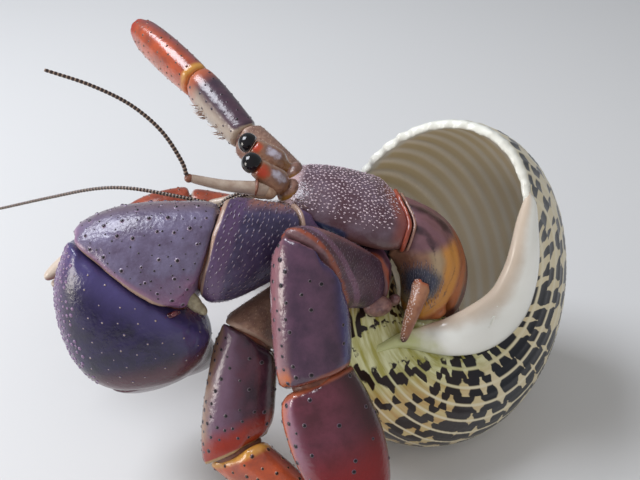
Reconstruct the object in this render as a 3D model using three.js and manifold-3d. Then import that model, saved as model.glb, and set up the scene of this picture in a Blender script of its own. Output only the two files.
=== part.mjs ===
// Caribbean land hermit crab (Coenobita clypeatus) carrying a magpie top shell, a still life-size model.
// Millimetres, +Z up. The head points to -X, the crab's left side to -Y, and it stands on Z = 0.
import * as THREE from 'three';
import { mergeVertices } from 'three/addons/utils/BufferGeometryUtils.js';
import { ConvexGeometry } from 'three/addons/geometries/ConvexGeometry.js';
import Module from 'manifold-3d';

const wasm = await Module();
wasm.setup();

// ---- driving sizes ----
const GAP = 0.3;                 // clear space left at every joint
const ORIGIN = [-6.93, 4.95, -1.2];        // where the natural reference point lies in the working layout

// Shell: a coiled tube that widens by WHORL_RATE at each turn round the axis.
const SHELL_APEX = [4.3, 7.5, 8.9];
const SHELL_AXIS_HEADING = -38;  // spire to base, degrees from +X
const SHELL_AXIS_PITCH = 34;
const SHELL_SPIN = -18;        // turn about that axis that sets which way the mouth opens
const WHORL_RATE = 2.15;         // growth in size per turn
const WHORL_TURNS = 2.2;
const COIL_RADIUS = 12.2;        // axis to middle of the mouth
const MOUTH_HALF_WIDTH = 16;
const MOUTH_HALF_LENGTH = 22;
const MOUTH_TURN = 39.5;         // slant of the long way of the mouth, degrees
const MOUTH_HEIGHT = 24.4;       // middle of the mouth along the axis
const SPIRE_STRETCH = 32;        // how far the coils are drawn out along the axis
const SHELL_WALL = 1.3;
const LIP_LEAN_A = 0.10;
const LIP_LEAN_B = 0.17;
const LIP_PINCH = 0.06;          // how much the tube narrows into the lip
const CALLUS = 2.5;              // thickness of the rounded white ridge along the inner lip

// Body: the hard shield and what hangs from it, in a frame that is turned as one.
const BODY_AT = [4, 3.4, 38.9];
const BODY_ROLL = 10.4;
const BODY_PITCH = 13.7;
const BODY_YAW = -11;
const SHIELD_LENGTH = 20;
const SHIELD_WIDTH = 14.4;

const EYE_RADIUS = 1.6;
const STALK_RADIUS = 1.65;
const FLAGELLUM = 0.6;           // thickness of the long feelers

// ---- colours ----
const paint = (color, roughness) => new THREE.MeshStandardMaterial({ color, roughness, metalness: 0 });
const SHELL_MAT = paint(0xb9b39a, 0.35);
const SHIELD_MAT = paint(0x5d4552, 0.5);
const THORAX_MAT = paint(0x4c4458, 0.55);
const FLESH_MAT = paint(0x8c6650, 0.6);
const STALK_MAT = paint(0xb89a80, 0.45);
const CORNEA_MAT = paint(0x0c0a0c, 0.1);
const FEELER_MAT = paint(0x8a7a78, 0.5);
const CLAW_MAT = paint(0x4a3a70, 0.3);
const CLAW_ARM_MAT = paint(0x6b5a78, 0.5);
const RED_CLAW_MAT = paint(0x9a4a34, 0.45);
const LEG_MAT = paint(0x7a4650, 0.45);
const LEG_ORANGE_MAT = paint(0xb0573a, 0.45);
const SMALL_LEG_MAT = paint(0xb08a70, 0.6);

const group = new THREE.Group();
const crab = new THREE.Group();
crab.position.set(-ORIGIN[0], -ORIGIN[1], -ORIGIN[2]);
group.add(crab);
const body = new THREE.Group();
body.position.set(...BODY_AT);
body.rotation.set(
  THREE.MathUtils.degToRad(BODY_ROLL),
  THREE.MathUtils.degToRad(BODY_PITCH),
  THREE.MathUtils.degToRad(BODY_YAW),
  'ZYX',
);
crab.add(body);

// ---- solids ----
const V = (a) => new THREE.Vector3(a[0], a[1], a[2]);

function toSolid(geometry) {
  let g = geometry.clone();
  g.deleteAttribute('normal');
  g.deleteAttribute('uv');
  g = mergeVertices(g, 1e-4);
  return new wasm.Manifold(new wasm.Mesh({
    numProp: 3,
    vertProperties: new Float32Array(g.attributes.position.array),
    triVerts: new Uint32Array(g.index.array),
  }));
}

function toGeometry(solid) {
  const m = solid.getMesh();
  const g = new THREE.BufferGeometry();
  g.setAttribute('position', new THREE.BufferAttribute(new Float32Array(m.vertProperties), 3));
  g.setIndex(new THREE.BufferAttribute(new Uint32Array(m.triVerts), 1));
  return g;
}

function addMesh(parent, name, geometry, material) {
  const mesh = new THREE.Mesh(geometry, material);
  mesh.name = name;
  parent.add(mesh);
  return mesh;
}

// A closed skin through a row of rings, each a list of the same number of points.
function loft(rings) {
  const n = rings[0].length;
  const points = rings.flat();
  const index = [];
  for (let i = 0; i < rings.length - 1; i += 1) {
    for (let k = 0; k < n; k += 1) {
      const a = i * n + k;
      const b = i * n + (k + 1) % n;
      index.push(a, b, b + n, a, b + n, a + n);
    }
  }
  const middle = (ring) => ring.reduce((s, p) => s.add(p), new THREE.Vector3()).divideScalar(n);
  const first = points.length;
  points.push(middle(rings[0]));
  points.push(middle(rings[rings.length - 1]));
  const lastRow = (rings.length - 1) * n;
  for (let k = 0; k < n; k += 1) {
    index.push(first, (k + 1) % n, k);
    index.push(first + 1, lastRow + k, lastRow + (k + 1) % n);
  }
  const g = new THREE.BufferGeometry().setFromPoints(points);
  g.setIndex(index);
  return g;
}

// One ring of a limb: a squared oval of the given height (local Z) and thickness (local Y) at x.
function ovalRing(x, height, thick, rise, sides, square = 2.3) {
  const ring = [];
  for (let k = 0; k < sides; k += 1) {
    const a = 2 * Math.PI * (k + 0.5) / sides;
    const c = Math.cos(a);
    const s = Math.sin(a);
    const y = Math.sign(c) * Math.abs(c) ** (2 / square) * thick / 2;
    const z = Math.sign(s) * Math.abs(s) ** (2 / square) * height / 2;
    ring.push(new THREE.Vector3(x, y, z + rise));
  }
  return ring;
}

// A limb piece along +X. profile rows are [part of length, height, thickness, rise].
function limb(length, profile, sides) {
  return loft(profile.map((r) => ovalRing(r[0] * length, r[1], r[2], r[3] || 0, sides)));
}

// Turns a mesh so that its +X runs along dir and its +Z lies on the side of up.
function aim(mesh, at, dir, up) {
  const x = dir.clone().normalize();
  const z = up.clone().addScaledVector(x, -up.dot(x)).normalize();
  const y = new THREE.Vector3().crossVectors(z, x);
  mesh.quaternion.setFromRotationMatrix(new THREE.Matrix4().makeBasis(x, y, z));
  mesh.position.copy(at);
  mesh.updateMatrix();
}

// Takes away everything of the mesh beyond a plane through point, on the side that normal points to.
function cutBeyond(mesh, point, normal, size = 70) {
  const box = new THREE.BoxGeometry(size, size, size);
  box.translate(size / 2, 0, 0);
  const turn = new THREE.Quaternion().setFromUnitVectors(new THREE.Vector3(1, 0, 0), normal.clone().normalize());
  box.applyQuaternion(turn);
  box.translate(point.x, point.y, point.z);
  mesh.updateMatrix();
  box.applyMatrix4(mesh.matrix.clone().invert());
  mesh.geometry = toGeometry(toSolid(mesh.geometry).subtract(toSolid(box)));
}

// The same skin pushed outward by d.
function swell(geometry, d) {
  let g = geometry.clone();
  g.deleteAttribute('normal');
  g.deleteAttribute('uv');
  g = mergeVertices(g, 1e-4);
  g.computeVertexNormals();
  const p = g.attributes.position;
  const n = g.attributes.normal;
  for (let i = 0; i < p.count; i += 1) {
    p.setXYZ(i, p.getX(i) + n.getX(i) * d, p.getY(i) + n.getY(i) * d, p.getZ(i) + n.getZ(i) * d);
  }
  return g;
}

// Hollows the mesh where the others touch it, leaving the joint gap.
function makeRoom(mesh, others, gap = GAP) {
  group.updateMatrixWorld(true);
  const back = mesh.matrixWorld.clone().invert();
  let solid = toSolid(mesh.geometry);
  for (const other of others) {
    const g = swell(other.geometry, gap);
    g.applyMatrix4(other.matrixWorld);
    g.applyMatrix4(back);
    solid = solid.subtract(toSolid(g));
  }
  mesh.geometry = toGeometry(solid);
}

// A row of limb pieces from joint to joint, mitred where they meet.
function leg(joints, pieces, slants = {}) {
  const meshes = [];
  const dirs = pieces.map((p, i) => V(joints[i + 1]).sub(V(joints[i])));
  pieces.forEach((p, i) => {
    const length = dirs[i].length();
    const mesh = addMesh(crab, p.name, limb(length, p.profile, p.sides || 10), p.material);
    aim(mesh, V(joints[i]), dirs[i], V(p.up));
    meshes.push(mesh);
  });
  for (let i = 0; i < meshes.length - 1; i += 1) {
    const halfway = dirs[i].clone().normalize().add(dirs[i + 1].clone().normalize());
    const normal = (slants[i + 1] ? V(slants[i + 1]) : halfway).normalize();
    const joint = V(joints[i + 1]);
    cutBeyond(meshes[i], joint.clone().addScaledVector(normal, -GAP / 2), normal);
    cutBeyond(meshes[i + 1], joint.clone().addScaledVector(normal, GAP / 2), normal.clone().negate());
  }
  return meshes;
}

// A round or tapering rod through a few points, with the step count given.
function rod(points, thickStart, thickEnd, steps, sides) {
  const path = new THREE.CatmullRomCurve3(points.map(V));
  const frames = path.computeFrenetFrames(steps, false);
  const rings = [];
  for (let i = 0; i <= steps; i += 1) {
    const t = i / steps;
    const at = path.getPointAt(t);
    const r = THREE.MathUtils.lerp(thickStart, thickEnd, t) / 2;
    const ring = [];
    for (let k = 0; k < sides; k += 1) {
      const a = 2 * Math.PI * k / sides;
      const p = at.clone();
      p.addScaledVector(frames.normals[i], r * Math.cos(a));
      p.addScaledVector(frames.binormals[i], r * Math.sin(a));
      ring.push(p);
    }
    rings.push(ring);
  }
  return loft(rings);
}

// ---- shell ----
const rad = THREE.MathUtils.degToRad;
const shellGroup = new THREE.Group();
shellGroup.position.set(...SHELL_APEX);
const axisHeading = rad(SHELL_AXIS_HEADING);
const axisPitch = rad(SHELL_AXIS_PITCH);
const shellBase = new THREE.Vector3(
  Math.cos(axisPitch) * Math.cos(axisHeading),
  Math.cos(axisPitch) * Math.sin(axisHeading),
  Math.sin(axisPitch),
);
const shellUp = new THREE.Vector3(0, 0, 1).addScaledVector(shellBase, -shellBase.z).normalize();
const shellSide = new THREE.Vector3().crossVectors(shellBase, shellUp);
const spin = rad(SHELL_SPIN);
const mouthWay = shellUp.clone().multiplyScalar(Math.cos(spin)).addScaledVector(shellSide, Math.sin(spin));
const growWay = new THREE.Vector3().crossVectors(shellBase, mouthWay);
shellGroup.quaternion.setFromRotationMatrix(new THREE.Matrix4().makeBasis(mouthWay, growWay, shellBase));
crab.add(shellGroup);

function whorlRing(theta, inset, sides, lean) {
  const slant = rad(MOUTH_TURN);
  const swollen = 1 + LIP_PINCH * (1 - lean);
  const ring = [];
  for (let k = 0; k < sides; k += 1) {
    const s = 2 * Math.PI * k / sides;
    const turn = theta + lean * (LIP_LEAN_A * Math.sin(s) + LIP_LEAN_B * Math.cos(s));
    const g = WHORL_RATE ** (turn / (2 * Math.PI));
    const across = (MOUTH_HALF_WIDTH * g * swollen - inset) * Math.cos(s);
    const along = (MOUTH_HALF_LENGTH * g * swollen - inset) * Math.sin(s);
    const out = COIL_RADIUS * g + across * Math.cos(slant) - along * Math.sin(slant);
    const toApex = across * Math.sin(slant) + along * Math.cos(slant);
    const rise = MOUTH_HEIGHT - SPIRE_STRETCH * (1 - g) - toApex;
    ring.push(new THREE.Vector3(out * Math.cos(turn), out * Math.sin(turn), rise));
  }
  return ring;
}

function coil(from, to, steps, inset, sides) {
  let solid = null;
  let last = whorlRing(from, inset, sides, 0);
  for (let i = 1; i <= steps; i += 1) {
    const t = i / steps;
    const theta = THREE.MathUtils.lerp(from, to, t);
    const lean = Math.max(0, 1 + theta / 1.2) ** 2;
    const ring = whorlRing(theta, inset, sides, Math.min(lean, 1));
    const slab = toSolid(new ConvexGeometry([...last, ...ring]));
    solid = solid ? solid.add(slab) : slab;
    last = ring;
  }
  return solid;
}

const TURN = 2 * Math.PI;
const spire = coil(-WHORL_TURNS * TURN, -TURN, 12, 0, 13);
const lastWhorl = coil(-TURN, 0, 17, 0, 21);
const hollow = coil(-0.62 * TURN, 0.1, 10, SHELL_WALL, 21);
const lip = whorlRing(0, SHELL_WALL * 0.6, 72, 1);
const RIDGE_LIFT = 4.5;          // the ridge climbs onto the whorl in front of the mouth
const ridgePath = new THREE.CatmullRomCurve3([17, 20, 24, 28, 32, 36, 40, 43].map((k) => {
  const climb = RIDGE_LIFT * Math.max(0, (31 - k) / 14) ** 1.2;
  return lip[k].clone().add(new THREE.Vector3(0, climb, 0));
}));
const RIDGE_STEPS = 13;
const ridgeFrames = ridgePath.computeFrenetFrames(RIDGE_STEPS, false);
const ridgeRings = [];
for (let i = 0; i <= RIDGE_STEPS; i += 1) {
  const t = i / RIDGE_STEPS;
  const r = 0.6 + (CALLUS - 0.6) * Math.sin(Math.PI * t) ** 0.7;
  const at = ridgePath.getPointAt(t);
  const ring = [];
  for (let k = 0; k < 8; k += 1) {
    const a = TURN * k / 8;
    const p = at.clone().addScaledVector(ridgeFrames.normals[i], r * Math.cos(a));
    ring.push(p.addScaledVector(ridgeFrames.binormals[i], r * Math.sin(a)));
  }
  ridgeRings.push(ring);
}
const ridge = toSolid(loft(ridgeRings));
const shellSolid = lastWhorl.add(spire).subtract(hollow).add(ridge);
const shell = addMesh(shellGroup, 'shell', toGeometry(shellSolid), SHELL_MAT);

// ---- shield and thorax, in the body frame ----
function plateRing(x, halfWidth, top, bottom, sides) {
  const ring = [];
  for (let k = 0; k < sides; k += 1) {
    const a = 2 * Math.PI * (k + 0.5) / sides;
    const s = Math.sin(a);
    ring.push(new THREE.Vector3(x, halfWidth * Math.cos(a), s > 0 ? s * top : s * bottom));
  }
  return ring;
}
const half = SHIELD_LENGTH / 2;
const wide = SHIELD_WIDTH / 2;
const shieldRows = [
  [-1.0, 0.42, 0.9, 0.6],
  [-0.92, 0.66, 2.2, 1.2],
  [-0.6, 0.86, 3.6, 1.6],
  [-0.1, 0.97, 4.3, 1.8],
  [0.4, 1.0, 4.5, 1.8],
  [0.75, 0.9, 4.1, 1.7],
  [0.93, 0.68, 3.1, 1.4],
  [1.0, 0.45, 2.0, 1.0],
];
const shield = addMesh(
  body,
  'shield',
  loft(shieldRows.map((r) => plateRing(r[0] * half, r[1] * wide, r[2], r[3], 16))),
  SHIELD_MAT,
);
const thoraxRows = [
  [-8.5, 4, 4],
  [-6, 7.4, 7],
  [0, 9.6, 8.4],
  [6, 9.6, 8.4],
  [10, 7, 6],
];
const thorax = addMesh(
  body,
  'thorax',
  loft(thoraxRows.map((r) => ovalRing(r[0], r[2], r[1], -5.6, 14, 2.6))),
  THORAX_MAT,
);
makeRoom(thorax, [shield, shell]);

// ---- eyes, in the body frame ----
function eye(side, base, tip) {
  const dir = V(tip).sub(V(base));
  const length = dir.length();
  const rows = [
    [0, 1.5, 1.5],
    [0.12, 3.1, 3.1],
    [0.45, 3.5, 3.3],
    [0.8, 2.9, 2.9],
    [0.95, 2.6, 2.6],
  ];
  const stalk = addMesh(body, `eyestalk_${side}`, limb(length, rows, 10), STALK_MAT);
  aim(stalk, V(base), dir, new THREE.Vector3(0, 0, 1));
  const ball = new THREE.SphereGeometry(EYE_RADIUS, 12, 8);
  const cornea = addMesh(body, `cornea_${side}`, ball, CORNEA_MAT);
  cornea.position.copy(V(tip));
  const ahead = dir.clone().normalize();
  const seam = V(tip).addScaledVector(ahead, -0.55 * EYE_RADIUS);
  cutBeyond(cornea, seam.clone().addScaledVector(ahead, GAP / 2), ahead.clone().negate());
  cutBeyond(stalk, seam.clone().addScaledVector(ahead, -GAP / 2), ahead);
  return stalk;
}
const stalkL = eye('left', [-8.9, -1.9, 0.9], [-15.6, -2.2, 5]);
const stalkR = eye('right', [-9.1, 2.2, 0.9], [-17.6, 3.2, 3.5]);
makeRoom(stalkL, [shield]);
makeRoom(stalkR, [shield]);
makeRoom(stalkR, [stalkL]);

// ---- feelers and mouthparts ----
const antennaL = addMesh(crab, 'antenna_base_left', rod([[-8.2, 1.4, 43], [-9.8, 0.9, 43.8], [-14.5, 0.2, 44.8],
  [-19.6, -0.4, 46.6]], 2.4, 1.2, 6, 8), STALK_MAT);
const flagellumL = addMesh(crab, 'antenna_flagellum_left', rod([[-19.8, -0.5, 47.1], [-20.5, 0.2, 49.3],
  [-23, 1.1, 53.7], [-26.9, 1.6, 57.6], [-31.7, 0.6, 61.2], [-37.5, 0.1, 63.8]], 0.8, FLAGELLUM, 14, 6), FEELER_MAT);
const antennaR = addMesh(crab, 'antenna_base_right', rod([[-8.4, 5.8, 40.4], [-11.3, 6.2, 39.2],
  [-15.1, 7, 37.2], [-18.3, 7.6, 36.2]], 2.2, 1.2, 6, 8), STALK_MAT);
const flagellumR = addMesh(crab, 'antenna_flagellum_right', rod([[-18.7, 7.7, 36.3], [-23.8, 8.5, 37.1],
  [-31.6, 10, 37.6], [-38, 11.3, 36.6], [-46.7, 12.7, 33.8], [-56.2, 14, 30.6]], 0.8, FLAGELLUM, 14, 6), FEELER_MAT);
const antennuleL = addMesh(crab, 'antennule_left', rod([[-8.2, 3.6, 41.2], [-12, 3.4, 40.8],
  [-15.8, 2.6, 39.2], [-17.4, 2.2, 36.4]], 1.2, 0.8, 7, 6), FEELER_MAT);
const antennuleR = addMesh(crab, 'antennule_right', rod([[-8.4, 5.2, 40.9], [-12.2, 5.2, 40.2],
  [-15.6, 5, 38.4], [-17, 4.8, 35.6]], 1.2, 0.8, 7, 6), FEELER_MAT);
const maxillipedL = addMesh(crab, 'maxilliped_left', rod([[-2.6, 2.4, 33.8], [-7.6, 2.2, 34.4],
  [-10.8, 2.2, 31.8], [-10, 2.6, 27.8]], 2.4, 1.2, 7, 8), SMALL_LEG_MAT);
const maxillipedR = addMesh(crab, 'maxilliped_right', rod([[-2.4, 5.8, 33.4], [-7.6, 5.6, 34],
  [-10.6, 5.4, 31.4], [-9.8, 5, 27.4]], 2.4, 1.2, 7, 8), SMALL_LEG_MAT);
makeRoom(antennaL, [shield, thorax, stalkL]);
makeRoom(antennaR, [shield, thorax, stalkR]);
makeRoom(antennuleL, [shield, thorax]);
makeRoom(antennuleR, [shield, thorax, antennaR]);
makeRoom(maxillipedL, [thorax]);
makeRoom(maxillipedR, [thorax]);

// ---- rear of the body, bending down into the shell ----
function softTube(points, rows, steps, sides) {
  const path = new THREE.CatmullRomCurve3(points.map(V));
  const rings = [];
  const up = new THREE.Vector3(0, 0, 1);
  let side = new THREE.Vector3(0, 1, 0);
  for (let i = 0; i <= steps; i += 1) {
    const t = i / steps;
    const at = path.getPointAt(t);
    const ahead = path.getTangentAt(t);
    side = side.addScaledVector(ahead, -side.dot(ahead)).normalize();
    const over = new THREE.Vector3().crossVectors(ahead, side).normalize();
    let j = 0;
    while (j < rows.length - 2 && rows[j + 1][0] < t) j += 1;
    const u = (t - rows[j][0]) / (rows[j + 1][0] - rows[j][0]);
    const w = THREE.MathUtils.lerp(rows[j][1], rows[j + 1][1], u) / 2;
    const h = THREE.MathUtils.lerp(rows[j][2], rows[j + 1][2], u) / 2;
    const ring = [];
    for (let k = 0; k < sides; k += 1) {
      const a = 2 * Math.PI * k / sides;
      const p = at.clone().addScaledVector(side, w * Math.cos(a)).addScaledVector(over, h * Math.sin(a));
      ring.push(p);
    }
    rings.push(ring);
  }
  return loft(rings);
}
const rearPath = [[11, 2.4, 35.2], [15, 1.8, 33.6], [17.8, 0.2, 29.8], [18.2, -1.9, 25.3], [17.8, -2.4, 22]];
const rear = addMesh(crab, 'posterior_carapace', softTube(rearPath, [[0, 9, 9], [0.18, 12.5, 12],
  [0.6, 13, 12.4], [0.94, 11.2, 10.6], [1, 9, 8.6]], 7, 12), FLESH_MAT);
const abdomenPath = [[18, -2, 21.2], [19.6, 0.2, 17.4], [19.4, 2, 14], [16, 1, 11], [12, -1, 10.6]];
const abdomen = addMesh(crab, 'abdomen', softTube(abdomenPath, [[0, 8, 8], [0.12, 10, 9.8],
  [0.45, 9.6, 9.4], [0.8, 6.4, 6.4], [1, 3, 3]], 7, 10), FLESH_MAT);
makeRoom(rear, [shield, thorax]);
makeRoom(rear, [shell], 0.45);
makeRoom(rear, [shell], 0);
makeRoom(abdomen, [rear]);
makeRoom(abdomen, [shell], 0.5);

// ---- big left claw ----
const clawArm = leg(
  [[-1.4, -1, 36], [-4.6, -2.6, 37.4], [-15.9, -8, 38.9], [-29.6, -9.4, 37.2], [-25.8, -15.4, 20.8]],
  [
    { name: 'left_claw_coxa', up: [0, 0.4, 1], material: CLAW_ARM_MAT,
      profile: [[-0.6, 6, 5], [0, 8, 7], [1, 10, 8], [1.6, 10, 8]] },
    { name: 'left_claw_merus', up: [0, 0.55, 0.83], material: CLAW_ARM_MAT, sides: 14,
      profile: [[-0.1, 9, 8], [0.15, 11, 9], [0.55, 14, 11.4], [0.85, 16, 12], [1.1, 16, 12], [1.25, 13, 10]] },
    { name: 'left_claw_carpus', up: [0, 0.55, 0.83], material: CLAW_ARM_MAT, sides: 14,
      profile: [[-0.2, 12, 10], [-0.05, 14.6, 11.6], [0.2, 15.8, 13], [0.6, 17.4, 14], [0.95, 17.6, 13.6],
        [1.3, 15, 11.6], [1.5, 9, 8]] },
    { name: 'left_claw_palm', up: [-0.965, -0.076, -0.263], material: CLAW_MAT, sides: 16,
      profile: [[-0.42, 7, 7, 0], [-0.25, 12.6, 10, 0.4], [0, 18.6, 13, 0.8], [0.28, 22, 14.4, 0.3],
        [0.56, 22.8, 14.6, 0], [0.8, 21, 13.6, 0], [0.97, 16.6, 11, 0], [1.06, 10.6, 7.4, 0]] },
  ],
  { 2: [-0.96, 0.17, 0.22] },
);

// The fixed finger grows from the lower half of the palm; the movable finger closes on it from above.
function finger(at, tip, up, rows, sides, bend) {
  const dir = V(tip).sub(V(at));
  const length = dir.length();
  const profile = rows.map((r) => [r[0], r[1], r[2], -bend * Math.sin(Math.PI * Math.min(1, Math.max(0, r[0])))]);
  const mesh = new THREE.Mesh(limb(length, profile, sides));
  aim(mesh, V(at), dir, V(up));
  return mesh;
}

function fuse(mesh, extra) {
  extra.updateMatrix();
  mesh.updateMatrix();
  const g = extra.geometry.clone();
  g.applyMatrix4(extra.matrix);
  g.applyMatrix4(mesh.matrix.clone().invert());
  mesh.geometry = toGeometry(toSolid(mesh.geometry).add(toSolid(g)));
}

const clawPalm = clawArm[3];
const bigDactyl = finger([-29.2, -14.6, 21.6], [-21.8, -5.6, 11.6], [-0.9, -0.1, -0.4], [[-0.25, 7, 6], [0, 10.4, 8.4],
  [0.25, 10, 8], [0.6, 7.6, 6.4], [0.9, 4, 3.6], [1, 1.8, 1.8]], 12, -1.4);
const bigFixed = finger([-22.6, -13.4, 23.2], [-19.4, -5.4, 13], [0.8, 0.1, 0.5], [[-0.3, 8, 7], [0, 10, 8.4],
  [0.3, 8.8, 7.6], [0.65, 6, 5.6], [0.9, 3.4, 3.2], [1, 1.6, 1.6]], 12, -1);
fuse(clawPalm, bigFixed);
bigDactyl.name = 'left_claw_dactyl';
bigDactyl.material = CLAW_MAT;
crab.add(bigDactyl);
makeRoom(bigDactyl, [clawPalm]);

// ---- right claw, smaller and behind the big one ----
const redArm = leg(
  [[-3.8, 6.6, 31.2], [-6.4, 9.4, 29.4], [-13.8, 15, 27.2], [-22.8, 15.8, 28.2], [-33.4, 11.4, 26]],
  [
    { name: 'right_claw_coxa', up: [0, 0, 1], material: RED_CLAW_MAT, sides: 8,
      profile: [[-0.8, 5, 4], [0, 6, 5], [1, 7, 5.6], [1.6, 7, 5.6]] },
    { name: 'right_claw_merus', up: [0, 0, 1], material: RED_CLAW_MAT,
      profile: [[-0.15, 6, 5], [0.15, 8, 6], [0.6, 9.4, 6.6], [0.9, 9.6, 6.8], [1.2, 8, 6]] },
    { name: 'right_claw_carpus', up: [0, 0, 1], material: RED_CLAW_MAT,
      profile: [[-0.25, 6.6, 5.6], [0, 8.4, 6.8], [0.5, 9.6, 7.4], [0.9, 10, 7.4], [1.2, 8.6, 6.4]] },
    { name: 'right_claw_palm', up: [0, 0.1, 1], material: RED_CLAW_MAT, sides: 12,
      profile: [[-0.3, 8, 6], [0, 11, 7.4], [0.4, 13.4, 8.4], [0.8, 13, 8], [1, 10.6, 6.8], [1.1, 7, 4.8]] },
  ],
);
const redFixed = finger([-32, 11.4, 23], [-46.4, 4, 21.6], [0, 0, -1], [[-0.2, 5.6, 5.6], [0, 6.6, 6],
  [0.4, 5, 4.8], [0.8, 2.8, 2.8], [1, 1.4, 1.4]], 10, -0.6);
const redDactyl = finger([-32.4, 11.6, 28.6], [-47, 3.6, 23.4], [0, 0, 1], [[-0.2, 4.6, 4.6], [0, 5.6, 5.4],
  [0.4, 4.6, 4.4], [0.8, 2.8, 2.8], [1, 1.4, 1.4]], 10, -1);
fuse(redArm[3], redFixed);
redDactyl.name = 'right_claw_dactyl';
redDactyl.material = RED_CLAW_MAT;
crab.add(redDactyl);
makeRoom(redDactyl, [redArm[3]]);

// ---- walking legs: coxa, merus, carpus, propodus and dactyl ----
const legL1 = leg(
  [[1.6, -0.6, 29.4], [-1.6, -3.6, 28.2], [-11.1, -12.9, 26], [-13.4, -22.6, 10.6], [-1.2, -30, 6.2],
    [2.6, -44, -1.2]],
  [
    { name: 'left_leg_1_coxa', up: [0, 0, 1], material: LEG_MAT, sides: 8,
      profile: [[-0.5, 5, 4.6], [0, 6.4, 5.4], [1, 7, 5.6], [1.5, 7, 5.6]] },
    { name: 'left_leg_1_merus', up: [0.1, 0.4, 0.9], material: LEG_MAT,
      profile: [[-0.15, 6, 5], [0.15, 7.4, 6], [0.6, 8.8, 6.6], [0.9, 9.4, 7], [1.15, 9, 7], [1.35, 6, 5]] },
    { name: 'left_leg_1_carpus', up: [-1, 0.1, 0.1], material: LEG_MAT,
      profile: [[-0.3, 6, 5], [-0.1, 8.6, 6.6], [0.2, 10.4, 7.2], [0.6, 11.6, 7.6], [0.9, 11, 7.4],
        [1.1, 9.4, 6.6], [1.25, 6, 5]] },
    { name: 'left_leg_1_propodus', up: [-0.6, 0.1, -0.75], material: LEG_ORANGE_MAT,
      profile: [[-0.35, 6, 5], [-0.1, 8.8, 6], [0.3, 9.8, 6.2], [0.7, 8.4, 5.8], [1, 6.4, 5], [1.15, 4.6, 4]] },
    { name: 'left_leg_1_dactyl', up: [0, 0, 1], material: LEG_ORANGE_MAT, sides: 8,
      profile: [[-0.12, 4, 3.4], [0.1, 5.2, 4.2, 0.4], [0.5, 4, 3.4, 1.2], [0.85, 2, 1.9, 0.6],
        [1.01, 1, 1, -0.1]] },
  ],
);
const legL2 = leg(
  [[8.6, -1.6, 31], [7.8, -5.6, 30.6], [-1.9, -14.4, 41.4], [-0.7, -23.2, 27.6], [5.6, -33.6, 14.2],
    [14, -40, -1.2]],
  [
    { name: 'left_leg_2_coxa', up: [0, 0.3, 1], material: LEG_MAT, sides: 8,
      profile: [[-0.5, 6, 5], [0, 7.4, 6], [1, 8, 6.4], [1.5, 8, 6.4]] },
    { name: 'left_leg_2_merus', up: [0.2, 0.67, 0.5], material: LEG_MAT, sides: 12,
      profile: [[-0.15, 7, 5.6], [0.1, 8.6, 6.4], [0.5, 10.4, 7.6], [0.85, 11.2, 8.2], [1.1, 11, 8], [1.3, 8, 6]] },
    { name: 'left_leg_2_carpus', up: [-1, 0.1, 0.2], material: LEG_MAT, sides: 12,
      profile: [[-0.3, 7, 6], [-0.12, 9.4, 7.6], [0.15, 10.8, 8.4], [0.6, 11.4, 8.6], [0.9, 11, 8], [1.1, 9.6, 7],
        [1.25, 6, 5]] },
    { name: 'left_leg_2_propodus', up: [-0.9, -0.3, -0.2], material: LEG_MAT, sides: 12,
      profile: [[-0.2, 8, 6], [0, 11.4, 7], [0.3, 13.8, 7.4], [0.65, 13.6, 7], [0.9, 11, 6.2], [1.05, 8, 5.2],
        [1.15, 5, 4]] },
    { name: 'left_leg_2_dactyl', up: [-0.8, 0, 0.6], material: LEG_MAT, sides: 8,
      profile: [[-0.1, 5, 3.6], [0.1, 6.4, 4.4, 0.4], [0.5, 5, 3.6, 1], [0.85, 2.4, 2.1, 0.5],
        [1.01, 1, 1, -0.1]] },
  ],
  { 3: [0.4, -0.565, -0.72] },
);
const legR1 = leg(
  [[0.8, 8, 33.2], [-1, 10.2, 34.2], [-12.9, 19, 42.3], [-22, 30.6, 46.6], [-33.8, 44, 50.2], [-31.4, 54, 41.4]],
  [
    { name: 'right_leg_1_coxa', up: [0, 0, 1], material: LEG_MAT, sides: 8,
      profile: [[-0.6, 5, 4.4], [0, 5.8, 5], [1, 6.4, 5.2], [1.6, 6.4, 5.2]] },
    { name: 'right_leg_1_merus', up: [-0.2, 0.2, 1], material: LEG_MAT,
      profile: [[-0.1, 5.6, 4.6], [0.1, 7, 5.6], [0.6, 7.6, 6], [0.9, 7, 5.8], [1.1, 5.6, 4.8]] },
    { name: 'right_leg_1_carpus', up: [-0.2, 0, 1], material: LEG_MAT,
      profile: [[-0.12, 4.8, 4.4], [0.05, 6.2, 5.4], [0.5, 7.6, 6.2], [0.85, 7.8, 6.2], [1.08, 6, 5]] },
    { name: 'right_leg_1_propodus', up: [-0.2, 0, 1], material: LEG_ORANGE_MAT,
      profile: [[-0.1, 5.2, 4.4], [0.05, 7, 5.6], [0.5, 8.2, 6], [0.85, 7.4, 5.4], [1.05, 5.4, 4.2], [1.15, 3.6, 3]] },
    { name: 'right_leg_1_dactyl', up: [-0.8, 0.4, 0.4], material: LEG_ORANGE_MAT, sides: 8,
      profile: [[-0.15, 3.6, 3], [0.1, 4.8, 3.8, 0.3], [0.5, 3.8, 3.2, 1], [0.85, 2, 1.8, 0.6], [1, 0.8, 0.8]] },
  ],
);
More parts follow.
